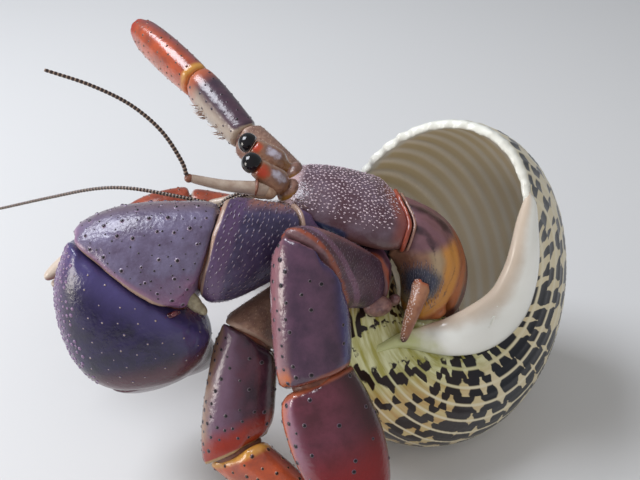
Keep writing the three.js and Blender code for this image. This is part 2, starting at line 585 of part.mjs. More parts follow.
const legR2 = leg(
  [[3, 6.2, 29.4], [1.4, 9.2, 27.6], [-6.6, 19.4, 24.8], [-10, 28.4, 17.4], [-19.4, 33, 8.4], [-31, 30, -1.2]],
  [
    { name: 'right_leg_2_coxa', up: [0, 0, 1], material: LEG_MAT, sides: 8,
      profile: [[-0.6, 4.8, 4.2], [0, 5.6, 4.6], [1, 6, 5], [1.6, 6, 5]] },
    { name: 'right_leg_2_merus', up: [0, 0, 1], material: LEG_MAT,
      profile: [[-0.1, 5.4, 4.4], [0.1, 6.4, 5], [0.6, 7.4, 5.6], [0.9, 7.4, 5.6], [1.15, 6, 5]] },
    { name: 'right_leg_2_carpus', up: [0, 0.5, 0.8], material: LEG_MAT,
      profile: [[-0.2, 5, 4.4], [0.05, 6.6, 5.4], [0.5, 7.6, 6], [0.85, 7.4, 5.8], [1.15, 5.6, 4.8]] },
    { name: 'right_leg_2_propodus', up: [-0.3, 0.5, 0.8], material: LEG_ORANGE_MAT,
      profile: [[-0.15, 5.4, 4.4], [0.05, 7.4, 5.4], [0.5, 8.4, 5.8], [0.85, 7, 5.2], [1.05, 5.4, 4.2], [1.15, 3.6, 3]] },
    { name: 'right_leg_2_dactyl', up: [0, 0, 1], material: LEG_ORANGE_MAT, sides: 8,
      profile: [[-0.12, 3.6, 3], [0.1, 4.8, 3.8, 0.4], [0.5, 3.8, 3.2, 1.1], [0.85, 2, 1.8, 0.6], [1.01, 0.9, 0.9, -0.1]] },
  ],
);

// Small flats where the model stands.
function standFlat(mesh) {
  group.updateMatrixWorld(true);
  const box = new THREE.BoxGeometry(200, 200, 20);
  box.translate(0, 0, -10);
  box.applyMatrix4(mesh.matrixWorld.clone().invert());
  mesh.geometry = toGeometry(toSolid(mesh.geometry).subtract(toSolid(box)));
}
for (const mesh of [shell, legL1[4], legL2[4], legR2[4]]) {
  standFlat(mesh);
}

// ---- the small fourth legs at the mouth of the shell ----
const smallL = addMesh(crab, 'left_leg_3', rod([[16, -4.4, 29.8], [15.4, -7.8, 30], [13.9, -10.8, 27.8],
  [12.8, -12.4, 24.4]], 3.4, 2.2, 7, 8), SMALL_LEG_MAT);
const smallR = addMesh(crab, 'right_leg_3', rod([[12.6, 8, 30.8], [14.6, 9, 29], [14.4, 9.4, 26]], 3, 2, 6, 8),
  SMALL_LEG_MAT);
makeRoom(smallL, [thorax, rear]);
makeRoom(smallR, [thorax, rear]);

for (const arm of [clawArm, redArm, legL1, legL2, legR1, legR2]) {
  makeRoom(arm[0], [thorax, shield]);
}
makeRoom(legL1[0], [shell, clawArm[0]]);
makeRoom(legL2[0], [shell, rear, legL1[0]]);
makeRoom(legL1[1], [shell]);
makeRoom(legL2[1], [shell]);
makeRoom(legR2[0], [shell, legR1[0]]);
makeRoom(clawArm[1], [thorax, shield]);
makeRoom(legR1[1], [thorax]);

export default group;
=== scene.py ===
# Land hermit crab leaning out of a coiled top shell: a still, life-size model of the whole animal.
import math

import bmesh
import bpy
import numpy as np
from mathutils import Matrix, Vector
from mathutils.kdtree import KDTree


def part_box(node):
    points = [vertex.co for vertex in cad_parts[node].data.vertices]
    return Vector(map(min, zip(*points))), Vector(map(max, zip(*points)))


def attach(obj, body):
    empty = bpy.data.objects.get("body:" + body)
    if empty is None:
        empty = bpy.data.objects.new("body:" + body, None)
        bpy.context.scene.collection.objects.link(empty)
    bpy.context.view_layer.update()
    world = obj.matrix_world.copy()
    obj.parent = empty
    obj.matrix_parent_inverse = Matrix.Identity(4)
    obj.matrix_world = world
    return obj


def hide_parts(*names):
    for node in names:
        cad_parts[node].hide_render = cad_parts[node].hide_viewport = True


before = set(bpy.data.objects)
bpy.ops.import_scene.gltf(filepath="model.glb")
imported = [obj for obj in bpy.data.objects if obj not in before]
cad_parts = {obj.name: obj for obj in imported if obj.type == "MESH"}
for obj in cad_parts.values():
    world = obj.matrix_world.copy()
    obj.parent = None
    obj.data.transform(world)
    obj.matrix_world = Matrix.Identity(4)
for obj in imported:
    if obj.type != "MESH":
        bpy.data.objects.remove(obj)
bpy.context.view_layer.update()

# ---- Floor, light and camera ----
# A plain pale table top, a soft lamp above it, a broad weak one in front and a small low one ahead.
# The camera stands by the crab's left side and looks down at it by 38 degrees.
MM = 0.001


def linear(colour):
    """An sRGB hex colour as the linear values that a shader wants."""
    parts = [((colour >> shift) & 255) / 255 for shift in (16, 8, 0)]
    return [c / 12.92 if c <= 0.04045 else ((c + 0.055) / 1.055) ** 2.4 for c in parts] + [1.0]


def add(tree, kind, *inputs, out=0, **settings):
    """Adds a node and returns one of its outputs. Inputs come in their order, or by name with a capital
    letter, each a value or the socket to link. Small-letter settings are the node's properties."""
    node = tree.nodes.new("ShaderNode" + kind)
    for key, value in settings.items():
        if key[0].islower():
            setattr(node, key, value)
    named = {key.replace("_", " "): value for key, value in settings.items() if key[0].isupper()}
    for socket, value in [*enumerate(inputs), *named.items()]:
        if isinstance(value, bpy.types.NodeSocket):
            tree.links.new(value, node.inputs[socket])
        else:
            node.inputs[socket].default_value = value
    return node.outputs[out]


def new_material(name, **surface):
    """A material with its shader's plain values set; returns it with its tree and shader."""
    material = bpy.data.materials.new(name)
    material.use_nodes = True
    shader = material.node_tree.nodes["Principled BSDF"]
    for key, value in surface.items():
        shader.inputs[key.replace("_", " ")].default_value = value
    return material, material.node_tree, shader


def link_piece(name, mesh):
    """A finished mesh as an object in the scene."""
    piece = bpy.data.objects.new(name, mesh)
    bpy.context.scene.collection.objects.link(piece)
    return piece


def new_piece(name, bm):
    """A finished bmesh as a smooth-shaded object in the scene."""
    for face in bm.faces:
        face.smooth = True
    mesh = bpy.data.meshes.new(name)
    bm.to_mesh(mesh)
    bm.free()
    return link_piece(name, mesh)


FLOOR_HALF = 0.9
bm = bmesh.new()
bmesh.ops.create_grid(bm, x_segments=1, y_segments=1, size=FLOOR_HALF)
floor = new_piece("floor", bm)
# Matt painted board: pale, with no pattern that the eye could catch on.
board, tree, shader = new_material("painted_board", Roughness=0.8, Base_Color=linear(0xCFCFCE))
floor.data.materials.append(board)

# Each lamp's place and size in metres, its power in watts and its colour.
LAMPS = {
    "window_lamp": ((-0.20, 0.06, 0.34), 0.20, 1.5, 0xF2F6FF),
    "fill_lamp": ((0.16, -0.34, 0.30), 0.60, 1.0, 0xFFF6EE),
    "low_lamp": ((-0.34, -0.14, 0.10), 0.14, 0.5, 0xFFF8F0),
}
for name, (place, size, power, colour) in LAMPS.items():
    lamp = bpy.data.lights.new(name, "AREA")
    lamp.size = size
    lamp.energy = power
    lamp.color = linear(colour)[:3]
    holder = bpy.data.objects.new(name, lamp)
    bpy.context.scene.collection.objects.link(holder)
    holder.location = place
    # The broad lamp leaves no highlight of its own on the wet parts.
    holder.visible_glossy = name != "fill_lamp"
    holder.rotation_euler = (Vector((0, 0, 0.03)) - Vector(place)).to_track_quat("-Z", "Y").to_euler()
world = bpy.data.worlds.new("studio")
world.use_nodes = True
world.node_tree.nodes["Background"].inputs["Color"].default_value = linear(0xDDE2E8)
world.node_tree.nodes["Background"].inputs["Strength"].default_value = 0.36
bpy.context.scene.world = world
bpy.context.scene.view_settings.view_transform = "Standard"

LOOK_DOWN = math.radians(38)
camera_data = bpy.data.cameras.new("camera")
camera_data.lens = 44.27
camera_data.sensor_width = 36
camera = bpy.data.objects.new("camera", camera_data)
bpy.context.scene.collection.objects.link(camera)
camera.location = (0.00693, -0.10345, 0.11266)
camera.rotation_euler = (math.pi / 2 - LOOK_DOWN, 0, 0)
bpy.context.scene.camera = camera

# ---- Shell ----
# A top shell's heavy lime tube, coiled to the right. Cream with dark brown blotches in spiral rows outside,
# a white glazed lip, and a ribbed grey-brown lining. The crab only wears it.
SHELL_APEX = np.array([11.23, 2.55, 10.1])
SHELL_HEADING = math.radians(-38)
SHELL_PITCH = math.radians(34)
SHELL_SPIN = math.radians(-18)
WHORL_RATE = 2.15
MOUTH_SLANT = math.radians(39.5)
SHELL_WALL = 1.3
# Half the tube's width and height at the lip, the lip's distance from the coil's axis and from the apex along
# it, and the whole length of the coil along that axis, in mm.
TUBE_WIDE, TUBE_TALL = 16, 22
COIL_OUT, COIL_UP, COIL_FALL = 12.2, 24.4, 32
TURN = 2 * math.pi
SEAM = math.radians(65)      # where the tube lies on the whorl before it: the marks start and end there
REACHES = ((-2.2 * TURN, 0.0), (-0.62 * TURN, 0.1))     # how far back the outside and the lining are followed


def shell_axes():
    """The shell's own axes as rows: towards the mouth's side, across it, and down the coil's axis."""
    base = Vector((math.cos(SHELL_PITCH) * math.cos(SHELL_HEADING),
                   math.cos(SHELL_PITCH) * math.sin(SHELL_HEADING), math.sin(SHELL_PITCH)))
    up = (Vector((0, 0, 1)) - base * base.z).normalized()
    mouth = up * math.cos(SHELL_SPIN) + base.cross(up) * math.sin(SHELL_SPIN)
    return np.array([mouth, base.cross(mouth), base])


def whorl(turn, around, inset=0.0):
    """Points of the coiled tube in metres: turn is the angle back from the lip, around goes round it."""
    lean = np.clip(1 + turn / 1.2, 0, 1) ** 2
    swollen = 1 + 0.06 * (1 - lean)
    angle = turn + lean * (0.10 * np.sin(around) + 0.17 * np.cos(around))
    growth = WHORL_RATE ** (angle / TURN)
    across = (TUBE_WIDE * growth * swollen - inset) * np.cos(around)
    along = (TUBE_TALL * growth * swollen - inset) * np.sin(around)
    out = COIL_OUT * growth + across * math.cos(MOUTH_SLANT) - along * math.sin(MOUTH_SLANT)
    rise = COIL_UP - COIL_FALL * (1 - growth) - across * math.sin(MOUTH_SLANT) - along * math.cos(MOUTH_SLANT)
    local = np.stack([out * np.cos(angle), out * np.sin(angle), rise], -1)
    return (SHELL_APEX + local @ shell_axes()) * MM


def fine_copy(name, nodes, grain, calm, rounded=2, swell=0.0):
    """One closed skin over CAD nodes: facets rounded, then an even grid of grain mm, calmed and swelled."""
    bm = bmesh.new()
    for node in nodes:
        bm.from_mesh(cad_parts[node].data)
    bmesh.ops.remove_doubles(bm, verts=bm.verts, dist=1e-6)
    if rounded:
        bmesh.ops.join_triangles(bm, faces=bm.faces, angle_face_threshold=0.6, angle_shape_threshold=1.2)
    mesh = bpy.data.meshes.new(name)
    bm.to_mesh(mesh)
    bm.free()
    piece = link_piece(name, mesh)
    if rounded:
        round_off = piece.modifiers.new("round_off", "SUBSURF")
        round_off.levels = round_off.render_levels = rounded
    even = piece.modifiers.new("even_grid", "REMESH")
    even.mode = "VOXEL"
    even.voxel_size = grain * MM
    even.use_smooth_shade = True
    soft = piece.modifiers.new("calm", "SMOOTH")
    soft.factor = 0.5
    soft.iterations = calm
    if swell:
        proud = piece.modifiers.new("swell", "DISPLACE")
        proud.strength = swell * MM
        proud.mid_level = 0
    settled = bpy.data.meshes.new_from_object(piece.evaluated_get(bpy.context.evaluated_depsgraph_get()))
    settled.name = name
    piece.modifiers.clear()
    piece.data = settled
    set_points(settled, points_of(settled))
    bpy.data.meshes.remove(mesh)
    return piece


def points_of(mesh):
    """A mesh's points in metres."""
    co = np.empty(len(mesh.vertices) * 3)
    mesh.vertices.foreach_get("co", co)
    return co.reshape(-1, 3)


def normals_of(mesh):
    """The way out at each of a mesh's points."""
    n = np.empty(len(mesh.vertices) * 3, np.float32)
    mesh.vertex_normals.foreach_get("vector", n)
    return n.reshape(-1, 3).astype(float)


def in_mm(piece):
    """A piece's points in mm."""
    return points_of(piece.data) / MM


def set_points(mesh, co):
    """Moves a mesh's points, none of them into the floor."""
    co = np.maximum(co, (-1, -1, 0))
    mesh.vertices.foreach_set("co", co.reshape(-1).astype(np.float32))
    mesh.update()


def set_mark(mesh, name, values):
    """Stores a value for each point of a mesh, for its material to read."""
    mark = mesh.attributes.get(name) or mesh.attributes.new(name, "FLOAT", "POINT")
    mark.data.foreach_set("value", np.asarray(values, np.float32))


def smooth_step(x, low, high):
    """Rises smoothly from 0 to 1 as x goes from low to high."""
    t = np.clip((x - low) / (high - low), 0, 1)
    return t * t * (3 - 2 * t)


def finder_of(points):
    """A finder of the point nearest to a place."""
    finder = KDTree(len(points))
    for i, point in enumerate(points):
        finder.insert(point, i)
    finder.balance()
    return finder


shell = fine_copy("seashell", ["shell"], 0.46, 2, rounded=0)
co, up = points_of(shell.data), normals_of(shell.data)
# Each point is matched with the tube's outside or its lining, as its turn and its way round, and put on it.
SIDES_ROUND = 180
tables = []
for (start, end), count, inset in zip(REACHES, (760, 240), (0.0, SHELL_WALL)):
    once_round = np.arange(SIDES_ROUND) * TURN / SIDES_ROUND
    turn, around = np.meshgrid(np.linspace(start, end, count), once_round, indexing="ij")
    places = whorl(turn, around, inset)
    middles = np.repeat(places.mean(1), SIDES_ROUND, 0)
    tables.append((turn.ravel(), around.ravel(), middles, finder_of(places.reshape(-1, 3)), inset))
turns, rounds, inner = np.zeros(len(co)), np.zeros(len(co)), np.zeros(len(co))
for i, (p, n) in enumerate(zip(co, up)):
    found = []
    for kind, (turn, around, middles, finder, inset) in enumerate(tables):
        _, k, d = finder.find(p)
        outward = (p - middles[k]) @ n
        wrong = outward < 0 if kind == 0 else outward > 0
        found.append((d + (1.2 * MM if wrong else 0), kind, k))
    _, kind, k = min(found)
    turns[i], rounds[i], inner[i] = tables[kind][0][k], tables[kind][1][k], kind
snapped, grow, gap = co.copy(), np.zeros_like(co), np.zeros(len(co))
for kind in (0, 1):
    mine = inner == kind
    t, s, inset = turns[mine], rounds[mine], tables[kind][4]
    for _ in range(3):
        at = whorl(t, s, inset)
        dt, ds = (whorl(t + 1e-4, s, inset) - at) / 1e-4, (whorl(t, s + 1e-4, inset) - at) / 1e-4
        miss = co[mine] - at
        a, b, c = (dt * dt).sum(1), (dt * ds).sum(1), (ds * ds).sum(1)
        u, v = (miss * dt).sum(1), (miss * ds).sum(1)
        det = a * c - b * b + 1e-20
        t = np.clip(t + np.clip((c * u - b * v) / det, -0.05, 0.05), *REACHES[kind])
        s = s + np.clip((a * v - b * u) / det, -0.05, 0.05)
    at = whorl(t, s, inset)
    gap[mine] = np.linalg.norm(co[mine] - at, axis=1) / MM
    grow[mine] = dt / np.linalg.norm(dt, axis=1, keepdims=True)
    snapped[mine] = at
    turns[mine], rounds[mine] = t, s
edge = (np.abs((up * grow).sum(1)) > 0.6) & (turns > -0.05)
snapped[edge] = co[edge]

# The spiral cords: broad ones on the base, finer ones round the outside, and 44 ribs inside.
BASE_EDGE = (math.radians(130), math.radians(165))
around = (rounds - SEAM) % TURN
steps = np.linspace(0, TURN, 721)
pace = (15 + 13 * smooth_step(steps, *BASE_EDGE)) / TURN
count = np.concatenate([[0], np.cumsum((pace[1:] + pace[:-1]) / 2 * np.diff(steps))])
cord = np.interp(around, steps, count)
rib = around * 44 / TURN
phase = np.where(inner > 0, np.abs(rib - np.round(rib)), np.abs(2 * cord - np.round(2 * cord)))
size = WHORL_RATE ** (turns / TURN)
set_points(shell.data, snapped)
up = normals_of(shell.data)
uneven = 0.7 + 0.3 * np.sin(np.round(rib) * 2.4)
ridge = np.exp(-(phase / 0.16) ** 2) * size * np.where(inner > 0, -0.24 * uneven, 0.14)
ridge *= np.where(inner > 0, smooth_step(turns, -2.6, -0.2), 1)
near_lip = smooth_step(turns, -0.10, -0.01)
teeth = 0.5 * np.cos(TURN * rib) - 0.5
free_lip = smooth_step(around, math.radians(200), math.radians(245))
snapped += up * (ridge * MM)[:, None] + grow * (teeth * 0.7 * near_lip * free_lip * MM)[:, None]
low, high = [np.array(c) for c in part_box("shell")]
set_points(shell.data, np.clip(snapped, low, high))
bm = bmesh.new()
bm.from_mesh(shell.data)
bm.verts.ensure_lookup_table()
rim = [bm.verts[i] for i in np.nonzero((turns > -0.045) & (gap < 1.2))[0]]
for _ in range(3):
    bmesh.ops.smooth_vert(bm, verts=rim, factor=0.5, use_axis_x=True, use_axis_y=True, use_axis_z=True)
bm.to_mesh(shell.data)
bm.free()


def oval_place(middle, *axes):
    """The place of a unit shape that is stretched along three half axes in mm."""
    axes = Matrix([Vector(axis) for axis in axes]).transposed().to_4x4()
    return Matrix.Scale(MM, 4) @ Matrix.Translation(Vector(middle)) @ axes


def loft(name, stations, sides):
    """A closed skin through a row of ovals, each given by its middle and its two half axes in mm."""
    bm = bmesh.new()
    rings = []
    for middle, wide, thick in stations:
        place = oval_place(middle, wide, thick, Vector(wide).cross(Vector(thick)))
        rings.append(bmesh.ops.create_circle(bm, segments=sides, radius=1, matrix=place)["verts"])
    edges = [list({e for v in ring for e in v.link_edges}) for ring in rings]
    for one, two in zip(edges, edges[1:]):
        bmesh.ops.bridge_loops(bm, edges=one + two)
    for ring in (rings[0], rings[-1]):
        bmesh.ops.contextual_create(bm, geom=ring)
    bmesh.ops.recalc_face_normals(bm, faces=bm.faces)
    return new_piece(name, bm)


def through(points, count):
    """A smooth line of count points through a few, and past its ends in a straight line."""
    points = [np.array(p, float) for p in points]
    points = [2 * points[0] - points[1]] + points + [2 * points[-1] - points[-2]]
    line = []
    for place in np.linspace(0, len(points) - 3 - 1e-9, count):
        i, t = int(place), place - int(place)
        a, b, c, d = points[i:i + 4]
        square, cube = 2 * a - 5 * b + 4 * c - d, 3 * b - a - 3 * c + d
        line.append(0.5 * (2 * b + (c - a) * t + square * t ** 2 + cube * t ** 3))
    return np.array(line)


# The thick white inner lip, laid over the whorl in front of the mouth: its inner and its outer edge.
CALLUS_INSIDE = [(37.6, -7.2, 46.6), (36.0, -9.6, 43.0), (35.2, -11.6, 39.8), (34.3, -13.0, 36.6),
                 (32.6, -13.9, 33.0), (30.4, -13.0, 29.6), (27.2, -12.2, 25.9), (24.8, -12.2, 24.2),
                 (22.4, -12.6, 23.2), (19.0, -15.2, 24.6), (15.6, -17.6, 24.9)]
CALLUS_OUTSIDE = [(38.9, -7.0, 44.6), (39.2, -8.4, 40.6), (39.4, -9.6, 36.6), (39.4, -10.2, 31.9),
                  (38.7, -11.0, 26.6), (36.2, -12.6, 22.9), (32.2, -14.2, 20.8), (28.0, -15.8, 20.9),
                  (24.4, -16.0, 21.4), (19.6, -16.8, 23.6), (15.4, -18.4, 24.2)]
CALLUS_STEPS, CALLUS_SIDES = 90, 28
inside, outside = through(CALLUS_INSIDE, CALLUS_STEPS), through(CALLUS_OUTSIDE, CALLUS_STEPS)
across = (outside - inside) / 2
proud = np.cross(across, np.gradient(inside + outside, axis=0))
proud /= np.linalg.norm(proud, axis=1, keepdims=True)
for _ in range(40):
    for line in (proud, across):
        line[1:-1] = (line[:-2] + 2 * line[1:-1] + line[2:]) / 4
proud /= np.linalg.norm(proud, axis=1, keepdims=True)
ends = np.sin(math.pi * (np.arange(CALLUS_STEPS) + 0.5) / CALLUS_STEPS)[:, None] ** 0.5
stations = list(zip((inside + outside) / 2 - proud * 1.1 * ends, across * 1.1, proud * (0.35 + 1.8 * ends)))
callus = loft("inner_lip_callus", stations, CALLUS_SIDES)

middles, widths = (np.repeat(np.array([s[k] for s in stations]), CALLUS_SIDES, 0) for k in (0, 1))
set_mark(callus.data, "side", ((in_mm(callus) - middles) * widths).sum(1) / (widths ** 2).sum(1))
set_mark(callus.data, "tail", np.repeat(np.linspace(0, 1, CALLUS_STEPS), CALLUS_SIDES))
callus_tail = finder_of(((inside + outside) / 2)[50:])
for name, values in {
        "turn": turns, "cord": cord, "rib": np.abs(rib - np.round(rib)), "inner": inner,
        "lip": smooth_step(turns, -0.10, -0.03), "base": 1 - smooth_step(around, *BASE_EDGE),
        "callus": [callus_tail.find(p)[2] for p in in_mm(shell)]}.items():
    set_mark(shell.data, name, values)


def finish_piece(piece, material, slot, *nodes):
    """Gives a piece its finish, hangs it on the root, and hides the CAD nodes that it takes the place of."""
    piece.data.materials.clear()
    piece.data.materials.append(material)
    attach(piece, "root")
    if nodes:
        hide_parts(*nodes)
    return piece


SOFT = {"interpolation_type": "SMOOTHSTEP"}

# Shell lime under a thin glaze. The blotches sit between the cords, each row with its own rhythm.
lime, tree, shader = new_material("glazed_shell_lime", Roughness=0.34, Coat_Weight=0.35, Coat_Roughness=0.12)
turn_mark, cord_mark, rib_mark, inner_mark, lip_mark, base_mark, callus_mark = [
    add(tree, "Attribute", out="Fac", attribute_name=name)
    for name in ("turn", "cord", "rib", "inner", "lip", "base", "callus")]
place = add(tree, "TexCoord", out="Object")
clouds = add(tree, "TexNoise", place, Scale=1 / (5 * MM), Detail=4.0)
row = add(tree, "Math", cord_mark, 0.5, operation="ADD")
row_number = add(tree, "Math", row, operation="FLOOR")
along = add(tree, "Math", turn_mark, 2.6, operation="MULTIPLY")
apart = add(tree, "Math", row_number, 3.71, operation="MULTIPLY")
row_place = add(tree, "CombineXYZ", along, apart)
rhythm = add(tree, "TexNoise", row_place, Scale=1.0, Detail=0.0, noise_dimensions="2D")
slow = add(tree, "Math", turn_mark, 2.2, operation="MULTIPLY")
wide = add(tree, "Math", cord_mark, 0.3, operation="MULTIPLY")
flame_place = add(tree, "CombineXYZ", slow, wide)
flame = add(tree, "TexNoise", flame_place, Scale=1.0, Detail=2.0, noise_dimensions="2D")
ragged = add(tree, "TexNoise", place, Scale=1 / (0.9 * MM), Detail=3.0)
beat = add(tree, "Math", row_number, 0.37, operation="MULTIPLY")
beat = add(tree, "Math", turn_mark, 3.7, beat, operation="MULTIPLY_ADD")
beat = add(tree, "Math", rhythm, 1.1, beat, operation="MULTIPLY_ADD")
folded = []
for value in (row, beat):
    for operation in ("FRACT", "SUBTRACT", "ABSOLUTE"):
        value = add(tree, "Math", value, 0.5, operation=operation)
    folded.append(value)
off_cord, beat = folded
# How much of each row the blotches fill: more on the older whorls, less on the base.
crowded = add(tree, "MapRange", turn_mark, -0.3, -2.8, 0.27, 0.42, **SOFT)
sparse = add(tree, "MapRange", turn_mark, -3.2, -3.9, 0.42, 0.30, **SOFT)
fill = add(tree, "Math", crowded, sparse, operation="MINIMUM")
fill = add(tree, "MixRGB", base_mark, fill, (0.22, 0.22, 0.22, 1))
fill = add(tree, "Math", flame, 0.5, fill, operation="MULTIPLY_ADD")
fill = add(tree, "Math", ragged, 0.16, fill, operation="MULTIPLY_ADD")
fill = add(tree, "Math", fill, 0.33, operation="SUBTRACT")
over = add(tree, "Math", fill, beat, operation="SUBTRACT")
rounded_off = add(tree, "MapRange", off_cord, 0.0, 0.4, -0.12, 0.02, **SOFT)
over = add(tree, "Math", over, rounded_off, operation="ADD")
dark = add(tree, "MapRange", over, -0.03, 0.03, **SOFT)
between = add(tree, "MapRange", off_cord, 0.03, 0.13, **SOFT)
streak_place = add(tree, "CombineXYZ", turn_mark, cord_mark)
streaks = add(tree, "TexNoise", streak_place, Scale=2.3, Detail=5.0, noise_dimensions="2D")
streaks = add(tree, "MapRange", streaks, 0.35, 0.65)
cream = add(tree, "MixRGB", clouds, linear(0xBFAE84), linear(0xD6CEB2))
sandy = add(tree, "MixRGB", streaks, linear(0xB08E56), linear(0xC2B07C))
early = add(tree, "MapRange", turn_mark, -2.8, -3.8, **SOFT)
early = add(tree, "Math", early, base_mark, operation="MAXIMUM")
cream = add(tree, "MixRGB", early, cream, sandy)
cream = add(tree, "MixRGB", between, linear(0xD2C9AC), cream)
glazed = add(tree, "MapRange", callus_mark, 9.5, 3.5, **SOFT)
stain = add(tree, "MixRGB", streaks, linear(0xA09C4C), linear(0xD2D4AA))
cream = add(tree, "MixRGB", glazed, cream, stain)
ink = add(tree, "Math", dark, between, operation="MULTIPLY")
off_callus = add(tree, "Math", ragged, 3.0, callus_mark, operation="MULTIPLY_ADD")
clear = add(tree, "MapRange", off_callus, 4.4, 4.9, **SOFT)
ink = add(tree, "Math", ink, clear, operation="MULTIPLY")
brown = add(tree, "MixRGB", early, linear(0x10121A), linear(0x20120E))
outside_colour = add(tree, "MixRGB", ink, cream, brown)
# The ribbed lining is painted much paler than its own grey-brown, and palest deep in the tube: painted light,
# making up for the shade inside the shell's mouth.
rib_line = add(tree, "MapRange", rib_mark, 0.05, 0.4, **SOFT)
deep = add(tree, "MapRange", turn_mark, -1.3, -0.1, **SOFT)
ribs_near_painted_light = add(tree, "MixRGB", rib_line, linear(0xEEE6D4), linear(0xD8C79C))
ribs_deep_painted_light = add(tree, "MixRGB", rib_line, linear(0xFFFCF4), linear(0xF8EFDC))
lining = add(tree, "MixRGB", deep, ribs_deep_painted_light, ribs_near_painted_light)
colour = add(tree, "MixRGB", inner_mark, outside_colour, lining)
colour = add(tree, "MixRGB", lip_mark, colour, linear(0xDEDED4))
tree.links.new(colour, shader.inputs["Base Color"])
grit = add(tree, "TexNoise", place, Scale=1 / (0.7 * MM), Detail=3.0)
bump = add(tree, "Bump", Height=grit, Strength=0.12, Distance=0.2 * MM)
tree.links.new(bump, shader.inputs["Normal"])
finish_piece(shell, lime, "shell", "shell")

# The lip is the same lime, laid down thick and glossy: milky, warmer inwards, and greenish at its thin end.
porcelain, tree, shader = new_material(
    "porcelain_lip_lime", Roughness=0.2, Coat_Weight=0.5, Coat_Roughness=0.08)
place = add(tree, "TexCoord", out="Object")
clouds = add(tree, "TexNoise", place, Scale=1 / (4 * MM), Detail=4.0)
milk = add(tree, "MixRGB", clouds, linear(0xE0E2DA), linear(0xECECE8))
side = add(tree, "Attribute", out="Fac", attribute_name="side")
side = add(tree, "Math", clouds, 0.5, side, operation="MULTIPLY_ADD")
inward = add(tree, "MapRange", side, -0.05, -0.7, **SOFT)
milk = add(tree, "MixRGB", inward, milk, linear(0xC4B4A2))
tail = add(tree, "Attribute", out="Fac", attribute_name="tail")
tail = add(tree, "Math", clouds, 0.3, tail, operation="MULTIPLY_ADD")
greenish = add(tree, "MapRange", tail, 0.86, 1.08, **SOFT)
milk = add(tree, "MixRGB", greenish, milk, linear(0xB6BA84))
tree.links.new(milk, shader.inputs["Base Color"])
finish_piece(callus, porcelain, "shell")

# ---- Shield ----
# The hard front plate of the back: thick chitin and lime, purple brown with many fine white granules, and
# with a pinkish front rim. It lies over the thorax, and a salmon groove parts it from the softer rear.
# AHEAD is the crab's own front. DOWN runs down its left flank.
AHEAD = np.array((-1.0, 0, 0))
DOWN = np.array(Vector((0, -math.sin(LOOK_DOWN), -math.cos(LOOK_DOWN))))


def cuticle(name, main, deep, layers=(), gloss=0.36, coat=0.25, mottle=3.0, relief=0.15):
    """Crab shell: chitin and lime coloured right through, under a thin waxy gloss.
    A layer is (mark, low, high, colour, wobble): its colour comes in as the mark goes from low to high."""
    material, tree, shader = new_material(name, Roughness=gloss, Coat_Weight=coat, Coat_Roughness=0.15)
    place = add(tree, "TexCoord", out="Object")
    clouds = add(tree, "TexNoise", place, Scale=1 / (mottle * MM), Detail=5.0, Roughness=0.6)
    share = add(tree, "MapRange", clouds, 0.36, 0.64)
    colour = add(tree, "MixRGB", share, linear(main), linear(deep))
    for mark, low, high, tint, wobble in layers:
        value = add(tree, "Attribute", out="Fac", attribute_name=mark)
        value = add(tree, "Math", clouds, wobble, value, operation="MULTIPLY_ADD")
        share = add(tree, "MapRange", value, low + wobble / 2, high + wobble / 2, **SOFT)
        colour = add(tree, "MixRGB", share, colour, linear(tint))
    tree.links.new(colour, shader.inputs["Base Color"])
    pores = add(tree, "TexNoise", place, Scale=1 / (0.5 * MM), Detail=3.0)
    swells = add(tree, "TexNoise", place, Scale=1 / (1.8 * MM), Detail=2.0)
    height = add(tree, "Math", swells, 2.0, pores, operation="MULTIPLY_ADD")
    bump = add(tree, "Bump", Height=height, Strength=relief, Distance=0.2 * MM)
    for socket in ("Normal", "Coat Normal"):
        tree.links.new(bump, shader.inputs[socket])
    return material


def mark_faces(piece):
    """Marks how far each point of a piece faces ahead and down, for the paint."""
    up = normals_of(piece.data)
    set_mark(piece.data, "flank", up @ AHEAD)
    set_mark(piece.data, "under", up @ DOWN)


def spread(piece, spacing, seed, keep):
    """Roots over a skin about spacing mm apart, where keep(points in mm, ways out) beats a random 0 to 1."""
    rng = np.random.default_rng(seed)
    mesh = piece.data
    mesh.calc_loop_triangles()
    corners = np.empty(len(mesh.loop_triangles) * 3, np.int32)
    mesh.loop_triangles.foreach_get("vertices", corners)
    corners = corners.reshape(-1, 3)
    co, up = in_mm(piece), normals_of(mesh)
    a, b, c = (co[corners[:, i]] for i in range(3))
    areas = np.linalg.norm(np.cross(b - a, c - a), axis=1) / 2
    count = int(areas.sum() / spacing ** 2 * 6)
    picked = rng.choice(len(areas), count, p=areas / areas.sum())
    u, v = rng.random((2, count))
    u, v = np.where(u + v > 1, 1 - u, u), np.where(u + v > 1, 1 - v, v)
    weights = np.stack([1 - u - v, u, v], 1)[:, :, None]
    places = (co[corners[picked]] * weights).sum(1)
    ways = (up[corners[picked]] * weights).sum(1)
    ways /= np.linalg.norm(ways, axis=1, keepdims=True)
    stays = keep(places, ways) > rng.random(count)
    places, ways = places[stays], ways[stays]
    finder = finder_of(places)
    free = np.ones(len(places), bool)
    for i, p in enumerate(places):
        if free[i]:
            for _, other, _ in finder.find_range(p, 0.82 * spacing):
                free[other] = other == i
    return places[free], ways[free]


